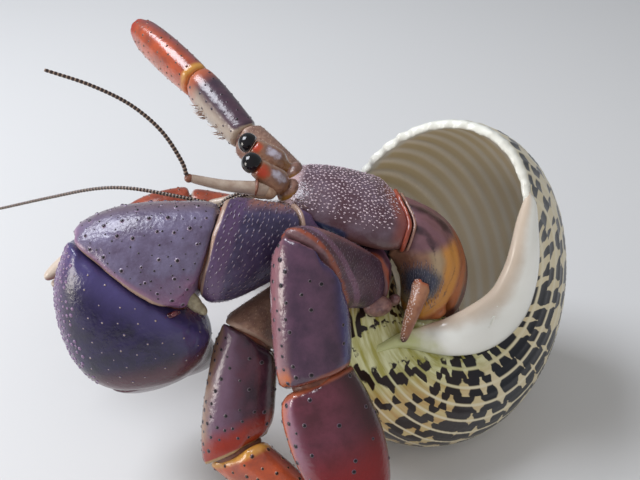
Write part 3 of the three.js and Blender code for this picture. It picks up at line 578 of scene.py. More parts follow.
def ringed_shape(rings, sides):
    """A small pointed shape from (radius, height, lean, tip mark) rings, the last of them its point."""
    verts, faces, tips = [], [], []
    for radius, height, lean, tip in rings[:-1]:
        for k in range(sides):
            angle = TURN * k / sides
            verts.append((lean + radius * math.cos(angle), radius * math.sin(angle), height))
            tips.append(tip)
    _, height, lean, tip = rings[-1]
    verts.append((lean, 0, height))
    tips.append(tip)
    for ring in range(len(rings) - 2):
        for k in range(sides):
            a, b = ring * sides + k, ring * sides + (k + 1) % sides
            faces += [(a, b, b + sides), (a, b + sides, a + sides)]
    last = (len(rings) - 2) * sides
    faces += [(last + k, last + (k + 1) % sides, len(verts) - 1) for k in range(sides)]
    return np.array(verts), np.array(faces), np.array(tips)


KNOB = ringed_shape([(1.5, -0.12, 0, 0.0), (1.05, 0.22, 0, 0.35), (0.6, 0.62, 0, 0.8), (0, 0.74, 0, 1.0)], 7)
GRAIN = ringed_shape([(1.1, -0.15, 0, 0.2), (0.8, 0.5, 0, 0.8), (0, 0.8, 0, 1.0)], 6)
BRISTLE = ringed_shape([(0.1, -0.05, 0, 0.0), (0.08, 0.6, 0.45, 0.45), (0, 0.8, 1.0, 1.0)], 3)


def long_axes(points, every=1):
    """The middle of some points and their axes, the longest first."""
    middle = points.mean(0)
    return middle, np.linalg.svd((points - middle)[::every], full_matrices=False)[2]


def sow(name, host, roots, shape, sizes, lean, seed, material, slot):
    """Copies of a small shape on roots, as one mesh. sizes are (length, width, height) in mm, and lean is the
    way they lie, or None for any way."""
    rng = np.random.default_rng(seed)
    places, ways = roots
    verts, faces, tips = shape
    n, k = len(places), len(verts)
    if lean is None:
        lean = rng.normal(size=(n, 3))
    ahead = np.asarray(lean, float) + rng.normal(size=(n, 3)) * 0.12
    ahead = ahead - (ahead * ways).sum(1)[:, None] * ways
    ahead /= np.linalg.norm(ahead, axis=1)[:, None] + 1e-9
    aside = np.cross(ways, ahead)
    scale = rng.uniform(0.7, 1.25, n)[:, None, None]
    local = verts[None] * np.array(sizes) * scale
    co = (places[:, None] + local[..., :1] * ahead[:, None] + local[..., 1:2] * aside[:, None]
          + local[..., 2:] * ways[:, None])
    # None of them goes below the table top.
    co[..., 2] = np.maximum(co[..., 2], 0)
    corners = (faces[None] + np.arange(n)[:, None, None] * k).reshape(-1)
    mesh = bpy.data.meshes.new(name)
    mesh.vertices.add(n * k)
    mesh.loops.add(len(corners))
    mesh.polygons.add(len(corners) // 3)
    mesh.vertices.foreach_set("co", (co * MM).reshape(-1).astype(np.float32))
    mesh.loops.foreach_set("vertex_index", corners.astype(np.int32))
    mesh.polygons.foreach_set("loop_start", np.arange(0, len(corners), 3, dtype=np.int32))
    mesh.polygons.foreach_set("use_smooth", np.ones(len(corners) // 3, bool))
    mesh.update(calc_edges=True)
    set_mark(mesh, "tip", np.tile(tips, n))
    # Each small shape is a patch at its root's place on the skin, unrolled round the skin's own long axis.
    skin = in_mm(host)
    middle, axes = long_axes(skin, 17)
    own = (places - middle) @ axes.T
    reach = np.abs((skin - middle) @ axes[0]).max()
    unrolled = np.stack([np.arctan2(own[:, 2], own[:, 1]) / TURN + 0.5, own[:, 0] / reach * 0.48 + 0.5], 1)
    patch = verts[:, :2] / np.abs(verts[:, :2]).max() * 0.0015
    uv = np.clip(unrolled[:, None] + patch[None], 0, 1).reshape(-1, 2)[corners]
    bake = mesh.uv_layers.new(name="OFBake")
    bake.data.foreach_set("uv", uv.reshape(-1).astype(np.float32))
    return finish_piece(link_piece(name, mesh), material, slot)


def tipped(name, low, high, gloss=0.35, split=0.6):
    """Chitin of a knob or bristle: one colour at its foot and another at its tip."""
    material, tree, shader = new_material(name, Roughness=gloss, Coat_Weight=0.2, Coat_Roughness=0.2)
    tip = add(tree, "Attribute", out="Fac", attribute_name="tip")
    share = add(tree, "MapRange", tip, split - 0.25, split + 0.15, **SOFT)
    colour = add(tree, "MixRGB", share, linear(low), linear(high))
    tree.links.new(colour, shader.inputs["Base Color"])
    return material


BODY_AT = np.array([10.93, -1.55, 40.1])
BODY_BACK = np.array(Vector((0.9536, -0.1854, -0.2368)))
BODY_UP = np.array((0, 0.616, 0.788))


def behind_middle(points):
    """How far points in mm lie behind the body's middle, along the back."""
    return (points - BODY_AT) @ BODY_BACK


def swept(points):
    """Points in mm near the groove, moved along the back so that the groove bows out on its sides."""
    back = behind_middle(points)
    shift = 1.2 - 3.6 * smooth_step((points - BODY_AT) @ BODY_UP, -3.4, 2.6)
    shift = shift * smooth_step(back, 2, 8.6) * (1 - smooth_step(back, 9.8, 15))
    return points + shift[:, None] * BODY_BACK


shield = fine_copy("front_shield", ["shield"], 0.25, 8, swell=0.12)
mark_faces(shield)
plain_shield = in_mm(shield)
back = behind_middle(plain_shield)
set_mark(shield.data, "back", back)
set_mark(shield.data, "cheek", smooth_step(normals_of(shield.data) @ DOWN, 0.1, 0.5)
         * smooth_step(back, 3.0, 0.0) * smooth_step(back, -9.5, -7))
shield_chitin = cuticle("shield_chitin", 0x4A3038, 0x62505C, [
    ("back", -7.2, -8.6, 0xB89C9E, 0.6), ("back", 6.6, 8.2, 0x7A4440, 1.0),
    ("under", 0.1, 0.8, 0x5A3E3C, 0.4), ("cheek", 0.2, 0.7, 0x222C4A, 0.3)], gloss=0.3, coat=0.4, relief=0.3)
finish_piece(shield, shield_chitin, "shield_plate", "shield")
set_points(shield.data, swept(plain_shield) * MM)


def on_shield(places, ways):
    """Keeps grains on the shield's upper face, off its front rim and its groove."""
    back = behind_middle(places)
    return smooth_step(ways @ -DOWN, -0.1, 0.5) * smooth_step(back, 8.6, 6.5) * smooth_step(back, -8.9, -7.6)


pale_grain = tipped("pale_shield_grains", 0x5E464E, 0xBCA8B0, gloss=0.2)
for name, spacing, sizes, seed in (("shield_grains", 0.62, (0.21, 0.13, 0.15), 3),
                                   ("shield_fine_grains", 0.6, (0.10, 0.07, 0.08), 7)):
    roots = spread(shield, spacing, seed, on_shield)
    sow(name, shield, roots, GRAIN, sizes, BODY_BACK, seed + 1, pale_grain, "shield_plate")
tan_hair = tipped("tan_setae", 0x5A3C30, 0x9C7C62, gloss=0.7)
roots = spread(shield, 0.55, 5, lambda p, n: (
    smooth_step(n @ DOWN, -0.35, 0.1) * smooth_step(behind_middle(p), -4.5, -6.5)))
sow("shield_front_setae", shield, roots, BRISTLE, (0.9, 0.7, 0.5), -BODY_BACK, 6, tan_hair, "shield_plate")

# The raised salmon welt in the groove behind the shield, and the paler edge of the skin behind it.
turned = np.array(Vector(BODY_BACK).cross(Vector((0, 0, 1))).normalized())
raised = np.cross(BODY_BACK, turned)
edge_ring = (plain_shield - BODY_AT)[np.abs(back - 9.0) < 0.3]
angles = np.arctan2(edge_ring @ raised, edge_ring @ turned)
reach = np.hypot(edge_ring @ raised, edge_ring @ turned)
steps = np.linspace(-math.pi, math.pi, 97)[:-1]
outer = np.array([reach[np.abs((angles - a + math.pi) % TURN - math.pi) < 0.09].max() for a in steps])
for _ in range(4):
    outer = (np.roll(outer, 1) + outer * 2 + np.roll(outer, -1)) / 4
for name, back_by, thick, raise_by, tints in (("groove_welt", 9.2, 0.36, 0.0, (0x9E4A34, 0x7A3628)),
                                              ("groove_edge", 10.0, 0.24, -0.25, (0xA88474, 0x7E5A50))):
    stations = []
    for a, r in zip(steps, outer):
        radial = math.cos(a) * turned + math.sin(a) * raised
        wave = 1 + 0.16 * math.sin(9 * a) + 0.12 * math.sin(23 * a + 1)
        spot = BODY_AT + BODY_BACK * back_by + radial * (r + raise_by)
        stations.append((swept(spot[None])[0], radial * thick * wave, BODY_BACK * thick))
    skin = cuticle(name + "_skin", *tints, gloss=0.32, coat=0.4, mottle=1.5)
    finish_piece(loft(name, stations, 12), skin, "soft_skin")

# ---- Thorax ----
# The side plates below the shield that carry the legs: smooth, thinner chitin, dark slate blue. Little of
# them shows between the limbs.
thorax = fine_copy("thorax_walls", ["thorax"], 0.35, 5)
mark_faces(thorax)
finish_piece(thorax, cuticle("thorax_chitin", 0x2E3550, 0x3A2C34), "thorax_skin", "thorax")

# ---- Rear of the body ----
# Soft leathery skin over muscle: one skin from the shield's groove down into the shell. It is folded round
# the bend of the back, and a slate blue patch on its left flank is covered in short bristles.
FOLD_AT = np.array([19.4, -8.6, 33.6])
PATCH_AT = np.array([22.2, -10.5, 31.6])
rear = fine_copy("rear_skin", ["posterior_carapace", "abdomen"], 0.25, 10, swell=0.15)
mark_faces(rear)
co = in_mm(rear)
arch = np.linalg.norm(co - FOLD_AT, axis=1)
swing = np.arctan2((co - FOLD_AT)[:, 0], (co - FOLD_AT)[:, 2])
ripple = np.sin(arch * 4.2 + 0.9 * np.sin(swing * 4) + 0.5 * np.sin(swing * 11)) * smooth_step(arch, 2, 5)
set_points(rear.data, swept(co + normals_of(rear.data) * (ripple * 0.08)[:, None]) * MM)
height = smooth_step(co[:, 2], 34.5, 38.5)
# Dark stripes round the upper back are the skin's own pattern. Lower down, the same dark colour lies in the
# troughs of the folds as painted shade.
stripes_and_fold_shade = height * (0.5 + 0.5 * np.sin(arch * 2.1 + 0.8)) + (1 - height) * (ripple < -0.75) * 0.6
patch = np.linalg.norm((co - PATCH_AT) * (0.8, 1, 1.1), axis=1)
for name, values in {"arch": arch, "upper": height, "stripes_and_fold_shade": stripes_and_fold_shade, "patch": patch}.items():
    set_mark(rear.data, name, values)
leather = cuticle("leathery_skin", 0x8A6650, 0x6A4638, [
    ("arch", 4.4, 5.6, 0x9A8468, 1.4), ("arch", 6.4, 7.6, 0xB27A34, 1.6), ("arch", 8.8, 9.8, 0x9A5A34, 1.4),
    ("arch", 10.8, 12.0, 0x5E3830, 1.4), ("upper", 0.2, 0.8, 0x6E4C54, 0.5),
    ("stripes_and_fold_shade", 0.45, 1.0, 0x38242A, 1.3), ("patch", 3.8, 2.0, 0x3C3E4C, 1.6)],
    gloss=0.38, coat=0.35, relief=0.35)
finish_piece(rear, leather, "soft_skin", "posterior_carapace", "abdomen")
slate_seta = tipped("slate_setae", 0x44465A, 0xA4A4AE, gloss=0.5)
roots = spread(rear, 0.42, 11, lambda p, n: smooth_step(np.linalg.norm(p - PATCH_AT, axis=1), 4.2, 2.6))
sow("rear_setae", rear, roots, BRISTLE, (0.7, 0.5, 0.3), (0.05, -0.5, -0.8), 12, slate_seta, "soft_skin")

# ---- Eyes ----
# Two stalks of clear-coated chitin, each with a wet black cornea on its end. They stand on the front of the
# shield, and are tan with a red wedge and a pale patch.
for side in ("left", "right"):
    stalk = fine_copy(f"eye_stalk_{side}", [f"eyestalk_{side}"], 0.12, 16, swell=0.16)
    pupil = sum(np.array(c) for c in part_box(f"cornea_{side}")) / 2 / MM
    # The stalk widens towards its socket and rounds off in it.
    away = in_mm(stalk) - pupil
    along = np.array(Vector(away.mean(0)).normalized())
    run = away @ along
    radial = away - run[:, None] * along
    away += radial * (0.20 * smooth_step(run, 1.5, 5.0) - 0.55 * smooth_step(run, 5.4, 7.4))[:, None]
    set_points(stalk.data, (away + pupil) * MM)
    own = in_mm(stalk) - pupil
    set_mark(stalk.data, "from_eye", np.linalg.norm(own, axis=1))
    # A red wedge lies behind and below the cornea, and a bluish white patch on the back of the stalk. Each is
    # an oval, placed by mm behind the cornea, above it and to its left, with its two half axes.
    over = -np.array(Vector((0.3, -0.35, 0.9)).cross(Vector(along)).cross(Vector(along)).normalized())
    seen = np.array((0, -0.79, 0.61))
    seen = seen - along * (along @ seen)
    red_run, red_rise = (1.85, -0.1) if side == "left" else (1.4, 0.35)
    for mark, forward, rise, out, length, width in (("wedge", red_run, red_rise, 1.6, 1.0, 1.1),
                                                    ("patch", 4.1, 1.7, 0.6, 1.8, 0.95)):
        off = own - along * forward - over * rise - seen * out
        run = off @ along
        aside = np.linalg.norm(off - run[:, None] * along, axis=1)
        set_mark(stalk.data, mark, np.hypot(run / length, aside / width))
    finish_piece(stalk, cuticle(f"eyestalk_chitin_{side}", 0x9A7A62, 0x7A5646, [
        ("patch", 1.7, 0.8, 0x6A4A3C, 2.0), ("patch", 1.25, 0.1, 0xA8A2AE, 2.0),
        ("wedge", 1.6, 0.8, 0x8E5034, 1.2), ("wedge", 1.25, 0.3, 0xB0391C, 1.2),
        ("from_eye", 5.9, 7.4, 0x7E5630, 1.8)], gloss=0.26, coat=0.5, mottle=0.9, relief=0.3),
        "eyestalk", f"eyestalk_{side}")
    eye = fine_copy(f"eye_{side}", [f"cornea_{side}"], 0.1, 6, swell=0.1)
    set_mark(eye.data, "rear_edge", normals_of(eye.data) @ np.array((0.75, -0.25, -0.55)))
    wet = cuticle(f"wet_cornea_{side}", 0x120C10, 0x0A080A, [("rear_edge", 0.86, 0.98, 0x5A1E14, 0.05)],
                  gloss=0.09, coat=0.35, relief=0.0)
    finish_piece(eye, wet, "cornea", f"cornea_{side}")

# ---- Limbs ----
# The big violet left claw, the small red right one, two pairs of walking legs and a small third pair, all
# of thick chitin and lime with dark knobs or bristles. Each limb is its joints in mm, from root to tip, and
# the planes of those that are cut at a slant.
LIMBS = {
    "left_claw": ([[5.53, -5.95, 37.2], [2.33, -7.55, 38.6], [-8.97, -12.95, 40.1], [-22.67, -14.35, 38.4],
                   [-18.87, -20.35, 22.0]], {2: (-0.96, 0.17, 0.22)}),
    "right_claw": ([[3.13, 1.65, 32.4], [0.53, 4.45, 30.6], [-6.87, 10.05, 28.4], [-15.87, 10.85, 29.4],
                    [-26.47, 6.45, 27.2]], {}),
    "left_leg_1": ([[8.53, -5.55, 30.6], [5.33, -8.55, 29.4], [-4.17, -17.85, 27.2], [-6.47, -27.55, 11.8],
                    [5.73, -34.95, 7.4], [9.53, -48.95, 0]], {}),
    "left_leg_2": ([[15.53, -6.55, 32.2], [14.73, -10.55, 31.8], [5.03, -19.35, 42.6], [6.23, -28.15, 28.8],
                    [12.53, -38.55, 15.4], [20.93, -44.95, 0]], {3: (0.4, -0.565, -0.72)}),
    "right_leg_1": ([[7.73, 3.05, 34.4], [5.93, 5.25, 35.4], [-5.97, 14.05, 43.5], [-15.07, 25.65, 47.8],
                     [-26.87, 39.05, 51.4], [-24.47, 49.05, 42.6]], {}),
    "right_leg_2": ([[9.93, 1.25, 30.6], [8.33, 4.25, 28.8], [0.33, 14.45, 26.0], [-3.07, 23.45, 18.6],
                     [-12.47, 28.05, 9.6], [-24.07, 25.05, 0]], {}),
}
CLAW_PARTS = ("coxa", "merus", "carpus", "palm")
LEG_PARTS = ("coxa", "merus", "carpus", "propodus", "dactyl")


def joint_planes(limb):
    """The planes where a limb's pieces meet, from its root to its end, as (point, way outward)."""
    joints, slants = LIMBS[limb]
    joints = [Vector(j) for j in joints]
    ways = [(b - a).normalized() for a, b in zip(joints, joints[1:])]
    planes = [(joints[0], ways[0])]
    for i in range(1, len(ways)):
        way = Vector(slants[i]) if i in slants else ways[i - 1] + ways[i]
        planes.append((joints[i], way.normalized()))
    return [(np.array(joint), np.array(way)) for joint, way in planes + [(joints[-1], ways[-1])]]


def mark_limb(piece, limb, index):
    """Marks the distance in mm of each point of a limb's piece from the joint at its root and at its end."""
    (root, root_way), (end, end_way) = joint_planes(limb)[index:index + 2]
    co = in_mm(piece)
    set_mark(piece.data, "from_root", (co - root) @ root_way)
    to_end = (end - co) @ end_way
    set_mark(piece.data, "to_end", to_end)
    ahead = smooth_step(normals_of(piece.data) @ AHEAD, 0.0, 0.6)
    set_mark(piece.data, "corner", smooth_step(to_end, 6.0, 1.0) * ahead)


RIM = ("to_end", 0.85, 0.6, 0x9C8070, 0.15)
PAINTS = {
    # The palm's down-facing side is painted near black: painted shade under the claw.
    "palm": (0x231845, 0x150E2C, [
        ("from_root", 6.0, 1.0, 0x423A68, 1.5), ("flank", 0.45, 0.95, 0x6E5078, 0.3),
        ("under", 0.4, 0.95, 0x100A16, 0.3), ("to_end", 5.0, 1.5, 0x4A2430, 1.5)], 0.26, 0.35),
    "carpus": (0x6C6480, 0x564A62, [
        ("flank", 0.25, 0.9, 0x8E6A88, 0.4), ("under", 0.1, 0.8, 0x7E5678, 0.4),
        ("under", -0.6, -0.95, 0x6A5A64, 0.3), ("to_end", 1.6, 0.8, 0x86647C, 0.6), RIM], 0.34, 0.35),
    "merus": (0x4A4262, 0x322A48, [
        ("under", -0.5, -0.95, 0x8A6058, 0.4), ("to_end", 3.8, 2.8, 0x584264, 0.5),
        ("to_end", 1.9, 1.2, 0x503C5C, 0.4), RIM], 0.36, 0.25),
    "red": (0xA04A30, 0x74301F, [
        ("to_end", 0.9, 0.2, 0xC8B8A8, 0.4), ("under", 0.2, 0.8, 0x702A24, 0.3)], 0.3, 0.3),
    "leg": (0x54384C, 0x3E2A3C, [
        ("flank", 0.3, 0.95, 0x8E6268, 0.4), ("flank", -0.35, -0.9, 0x2E2A5E, 0.4),
        ("under", -0.5, -0.95, 0x765058, 0.3), ("to_end", 1.0, 0.5, 0x7A3E2C, 0.5),
        ("corner", 0.35, 0.8, 0xA8582C, 0.6)], 0.22, 0.6),
    "dome": (0x50384A, 0x3A2838, [
        ("under", -0.4, -0.9, 0x825450, 0.4), ("to_end", 3.6, 3.2, 0x6E4C64, 0.5),
        ("to_end", 2.4, 2.0, 0x4E303E, 0.4), ("to_end", 1.5, 1.0, 0x8A4632, 0.4),
        ("to_end", 0.8, 0.4, 0x6E5054, 0.3)], 0.36, 0.25),
    "low_leg": (0x502E3C, 0x34202C, [
        ("flank", -0.1, 0.3, 0x6A5064, 0.4), ("flank", 0.45, 0.9, 0x9A7A64, 0.4),
        ("to_end", 5.0, 2.0, 0x88291A, 1.5), ("to_end", 0.7, 0.4, 0x9A7C50, 0.2)], 0.26, 0.45),
    "tan_leg": (0x9A7A68, 0x74564C, [("under", 0.2, 0.8, 0x8A5E50, 0.4), RIM], 0.45, 0.15),
    "raised_leg": (0x4E3642, 0x3A2A38, [
        ("under", -0.15, 0.4, 0xA89888, 0.3), ("to_end", 5.0, 1.0, 0xA8583A, 2.0)], 0.28, 0.4),
    # On the purple shins the lavender on the side facing the lamps is a painted sheen, and the dark red-brown
    # far side is painted shade. The maroon, the orange front margin and the red end are their own colours.
    "shin": (0x602C3A, 0x481E28, [
        ("flank", 0.15, 0.6, 0x7E5466, 0.4), ("flank", 0.6, 0.95, 0xB4562A, 0.4),
        ("flank", -0.1, -0.6, 0x361216, 0.3), ("to_end", 11.0, 3.5, 0x741212, 2.0),
        ("from_root", 0.9, 0.4, 0x96523A, 0.5)], 0.18, 0.7),
    "orange": (0xB04E2A, 0x86402E, [
        ("under", -0.5, -0.95, 0x6E4048, 0.4), ("from_root", 1.8, 0.8, 0xC08A40, 0.6),
        ("to_end", 3.0, 1.0, 0x9A3420, 1.0), ("under", 0.3, 0.9, 0xC46A3C, 0.3)], 0.24, 0.5),
}


def paint_of(limb, part):
    """The paint and slot of one piece of a limb."""
    if limb == "left_claw":
        return ("palm", "claw_violet") if part in ("palm", "dactyl") else (
            "merus" if part == "coxa" else part, "claw_arm")
    if limb == "right_claw":
        return "red", "claw_red"
    if part in ("propodus", "dactyl"):
        return ("shin", "leg_purple") if limb == "left_leg_2" else ("orange", "leg_orange")
    if part in ("coxa", "merus"):
        return ("tan_leg" if limb in ("right_leg_1", "left_leg_1") else "dome"), "leg_purple"
    return {"left_leg_1": "low_leg", "right_leg_1": "raised_leg"}.get(limb, "leg"), "leg_purple"


pieces, finishes = {}, {}
for limb in LIMBS:
    claw = "claw" in limb
    for index, part in enumerate((*CLAW_PARTS, "dactyl") if claw else LEG_PARTS):
        node = f"{limb}_{part}"
        fine = part in ("dactyl", "coxa")
        piece = fine_copy(node + "_shell", [node], 0.2 if fine else 0.25, 5 if fine else 10, swell=0.15)
        mark_faces(piece)
        mark_limb(piece, limb, 3 if claw and part == "dactyl" else index)
        paint, slot = paint_of(limb, part)
        if paint not in finishes:
            *colours, gloss, coat = PAINTS[paint]
            rough = 0.45 if paint in ("carpus", "merus", "tan_leg", "dome") else 0.22
            finishes[paint] = cuticle(f"{paint}_chitin", *colours, gloss=gloss, coat=coat, relief=rough)
        finish_piece(piece, finishes[paint], slot, node)
        pieces[node] = piece

# Knobs and bristles of the limbs: chitin of the plate below, drawn out and darker or paler at its tip.
dark_knob = tipped("dark_tipped_knobs", 0x5E4A58, 0x140A10, split=0.4)
lilac_knob = tipped("dark_tipped_lilac_knobs", 0x8A7890, 0x1A0E18, split=0.5)
red_knob = tipped("dark_knobs_on_orange", 0x9A5A38, 0x2A1010, split=0.4)
pale_knob = tipped("pale_palm_grains", 0x3A2E5E, 0x9A8A80, gloss=0.25)
pink_grain = tipped("pink_margin_grains", 0x4A3860, 0x7A6080, gloss=0.3)
grey_seta = tipped("pale_setae", 0x6A5A70, 0xB8ACB8, gloss=0.4)
tan_seta = tipped("tan_leg_setae", 0x8A6C5C, 0xC8AC94, gloss=0.5)
# The big claw's bristles lean back, inwards and up.
UPRIGHT = (0.45, 0.55, 0.71)
# The left legs carry most of their knobs along the front margin.
MIDDLE_SHARE = {("left_leg_2", 2): 0.035, ("left_leg_2", 3): 0.045, ("left_leg_1", 2): 0.09}


def outer_part(limb, index, first, last, thin=1.0):
    """Keeps roots first and last mm off the ends of a limb's piece, and few (thin) off its front margin."""
    (root, root_way), (end, end_way) = joint_planes(limb)[index:index + 2]

    def keep(places, ways):
        near, far = (places - root) @ root_way, (end - places) @ end_way
        share = thin + (1 - thin) * smooth_step(ways @ AHEAD, 0.25, 0.75)
        return ((near > first) & (far > last)) * share
    return keep


# Each row is a limb and its piece's number, the spacing and the (length, width, height) in mm, and the kind.
for seed, (limb, index, spacing, size, shape, material) in enumerate([
        ("left_claw", 3, 2.3, (0.14, 0.14, 0.13), KNOB, pale_knob),
        ("left_claw", 2, 2.6, (0.26, 0.26, 0.30), KNOB, lilac_knob),
        ("left_claw", 2, 1.6, (0.14, 0.14, 0.12), GRAIN, lilac_knob),
        ("left_claw", 1, 0.85, (0.62, 1.25, 0.2), BRISTLE, grey_seta),
        ("left_leg_2", 1, 0.62, (0.55, 0.6, 0.14), BRISTLE, grey_seta),
        ("left_leg_2", 2, 1.8, (0.25, 0.25, 0.17), KNOB, dark_knob),
        ("left_leg_2", 3, 1.8, (0.24, 0.24, 0.17), KNOB, dark_knob),
        ("left_leg_2", 4, 2.2, (0.17, 0.17, 0.14), KNOB, dark_knob),
        ("left_leg_1", 1, 0.7, (0.6, 0.5, 0.2), BRISTLE, tan_seta),
        ("left_leg_1", 2, 1.5, (0.23, 0.23, 0.17), KNOB, dark_knob),
        ("left_leg_1", 3, 1.9, (0.24, 0.24, 0.18), KNOB, red_knob),
        ("left_leg_1", 4, 1.7, (0.17, 0.17, 0.14), KNOB, red_knob),
        ("right_leg_1", 1, 0.6, (0.6, 0.5, 0.2), BRISTLE, tan_seta),
        ("right_leg_1", 2, 2.0, (0.19, 0.19, 0.15), KNOB, dark_knob),
        ("right_leg_1", 3, 1.9, (0.18, 0.18, 0.14), KNOB, red_knob),
        ("right_leg_1", 4, 1.7, (0.14, 0.14, 0.12), KNOB, red_knob),
        ("right_leg_2", 2, 2.3, (0.21, 0.21, 0.16), KNOB, dark_knob),
        ("right_leg_2", 3, 2.2, (0.2, 0.2, 0.16), KNOB, red_knob),
        ("right_leg_2", 4, 1.8, (0.17, 0.17, 0.14), KNOB, red_knob),
        ("right_claw", 2, 1.7, (0.17, 0.17, 0.15), KNOB, red_knob),
        ("right_claw", 3, 1.7, (0.17, 0.17, 0.15), KNOB, red_knob)]):
    part = (CLAW_PARTS if "claw" in limb else LEG_PARTS)[index]
    host = pieces[f"{limb}_{part}"]
    way = UPRIGHT if limb == "left_claw" else joint_planes(limb)[index + 1][1]
    kind = "setae" if shape is BRISTLE else "knobs" if shape is KNOB else "grains"
    off_end = 1.4 if kind == "knobs" else 1.1
    keep = outer_part(limb, index, 1.0, off_end, MIDDLE_SHARE.get((limb, index), 1.0))
    sow(f"{limb}_{part}_{kind}", host, spread(host, spacing, 20 + seed, keep), shape, size,
        way if kind == "setae" else None, 60 + seed, material, paint_of(limb, part)[1])
host = pieces["left_claw_palm"]
roots = spread(host, 0.85, 50, lambda p, n: smooth_step(n @ AHEAD, 0.35, 0.9))
sow("left_claw_palm_margin", host, roots, GRAIN, (0.3, 0.3, 0.13), None, 51, pink_grain, "claw_violet")


def blob(name, lobes, material, slot, rings=16):
    """Small rounded lobes as one piece, each (middle, half axis, half axis, half axis) in mm."""
    bm = bmesh.new()
    for lobe in lobes:
        place = oval_place(*lobe)
        bmesh.ops.create_uvsphere(bm, u_segments=2 * rings, v_segments=rings, radius=1, matrix=place)
    bmesh.ops.recalc_face_normals(bm, faces=bm.faces)
    return finish_piece(new_piece(name, bm), material, slot)


# The claw's inner hinge, a pale cushion of joint skin and wet red bosses, and the lobes at the legs' roots.
blob("claw_hinge_cushion", [((-11.5, -19.1, 35.5), (1.35, -0.9, -1.3), (0.85, 0.2, 0.75), (0.1, -0.8, 0.5)),
                            ((-10.4, -19.5, 34.5), (0.8, -0.5, -0.8), (0.6, 0.2, 0.5), (0.1, -0.6, 0.4))],
     cuticle("pale_hinge_skin", 0x948C74, 0x766C56, gloss=0.4, mottle=0.7, relief=0.6), "claw_arm")
blob("claw_hinge_bosses", [((-15.3, -21.85, 34.55), (0.5, 0, 0), (0, 0.5, 0), (0, 0, 0.5)),
                           ((-13.9, -21.2, 35.0), (0.6, 0.2, 0.1), (0, 0.45, 0), (0, 0, 0.45)),
                           ((-14.6, -21.2, 34.6), (1.5, 0.4, 0.3), (0, 0.5, 0), (0, 0, 0.45))],
     cuticle("wet_red_boss", 0x6A2A2C, 0x42182A, gloss=0.12, coat=1.0, mottle=0.9), "claw_violet")
# Rows of stiff tufts under the raised leg, one row every 3.7 mm.
host = pieces["right_leg_1_carpus"]
under_edge = np.array((-0.75, -0.3, -0.6))
roots = spread(host, 0.9, 52, lambda p, n: (
    smooth_step(n @ under_edge, 0.75, 0.95) * smooth_step(np.sin(p[:, 0] * 1.7), 0.2, 0.7)))
sow("right_leg_1_carpus_tufts", host, roots, BRISTLE, (1.5, 0.9, 1.1), joint_planes("right_leg_1")[3][1], 53,
    tan_seta, "leg_purple")
blob("leg_root_lobes", [((15.9, -13.6, 29.4), (2.2, 0.2, 0.4), (-0.6, -0.8, 2.0), (0, -1.6, -0.3)),
                        ((18.6, -11.6, 28.9), (0.95, 0, 0), (0.2, -0.4, 1.3), (0, -1.0, 0))],
     cuticle("leg_root_skin", 0x94706A, 0x6A4A4C, gloss=0.35, coat=0.4, mottle=0.9, relief=0.6), "leg_purple")

# Soft joint skin between the pieces: thin, folded, and paler than the plates.
joint_skin = cuticle("joint_skin", 0x7A4630, 0x522C24, gloss=0.45, coat=0.2, mottle=1.2, relief=0.4)
for limb in LIMBS:
    lobes = []
    parts = CLAW_PARTS if "claw" in limb else LEG_PARTS
    for index, (before, after) in enumerate(zip(parts, parts[1:])):
        point, way = joint_planes(limb)[index + 1]
        ring = np.concatenate([in_mm(pieces[f"{limb}_{part}"]) for part in (before, after)])
        ring = ring[np.abs((ring - point) @ way) < 1.2]
        if len(ring) < 12:
            continue
        middle = ring.mean(0)
        flat = (ring - middle) - ((ring - middle) @ way)[:, None] * way
        aside, upward = long_axes(flat)[1][:2]
        wide, high = (np.percentile(np.abs(flat @ axis), 90) * 0.88 for axis in (aside, upward))
        lobes.append((middle, aside * wide, upward * high, np.cross(aside, upward) * 1.5))
    blob(f"{limb}_joint_skin", lobes, joint_skin, "soft_skin", rings=18)

for node in ("left_leg_3", "right_leg_3", "maxilliped_left", "maxilliped_right"):
    piece = fine_copy(node + "_shell", [node], 0.15, 5, swell=0.1)
    co = in_mm(piece)
    middle, axes = long_axes(co, 7)
    ahead = axes[0] * -np.sign(axes[0][2])
    run = (co - middle) @ ahead
    toward_tip = (run - run.min()) / np.ptp(run)
    if "leg" in node:
        radial = (co - middle) - run[:, None] * ahead
        co = co - radial * (0.5 * toward_tip ** 2.5 + 0.12 * (1 - toward_tip))[:, None]
        set_points(piece.data, co * MM)
    mark_faces(piece)
    set_mark(piece.data, "toward_tip", toward_tip)
    chitin = cuticle(node + "_chitin", 0xA8785A, 0x865640, [
        ("toward_tip", 0.85, 0.97, 0x4A2A22, 0.1), ("toward_tip", 0.12, 0.02, 0x9A5236, 0.1)])
    finish_piece(piece, chitin, "small_leg", node)
    pieces[node] = piece
rasp = tipped("pale_rasp_grains", 0xA47C62, 0xC8AEA4, gloss=0.3)
for seed, side in enumerate(("left", "right")):
    host = pieces[side + "_leg_3"]
    roots = spread(host, 0.38, 90 + seed, lambda p, n: smooth_step(n @ AHEAD, 0.1, 0.6))
    sow(side + "_leg_3_rasp", host, roots, GRAIN, (0.17, 0.11, 0.08), None, 95 + seed, rasp, "small_leg")

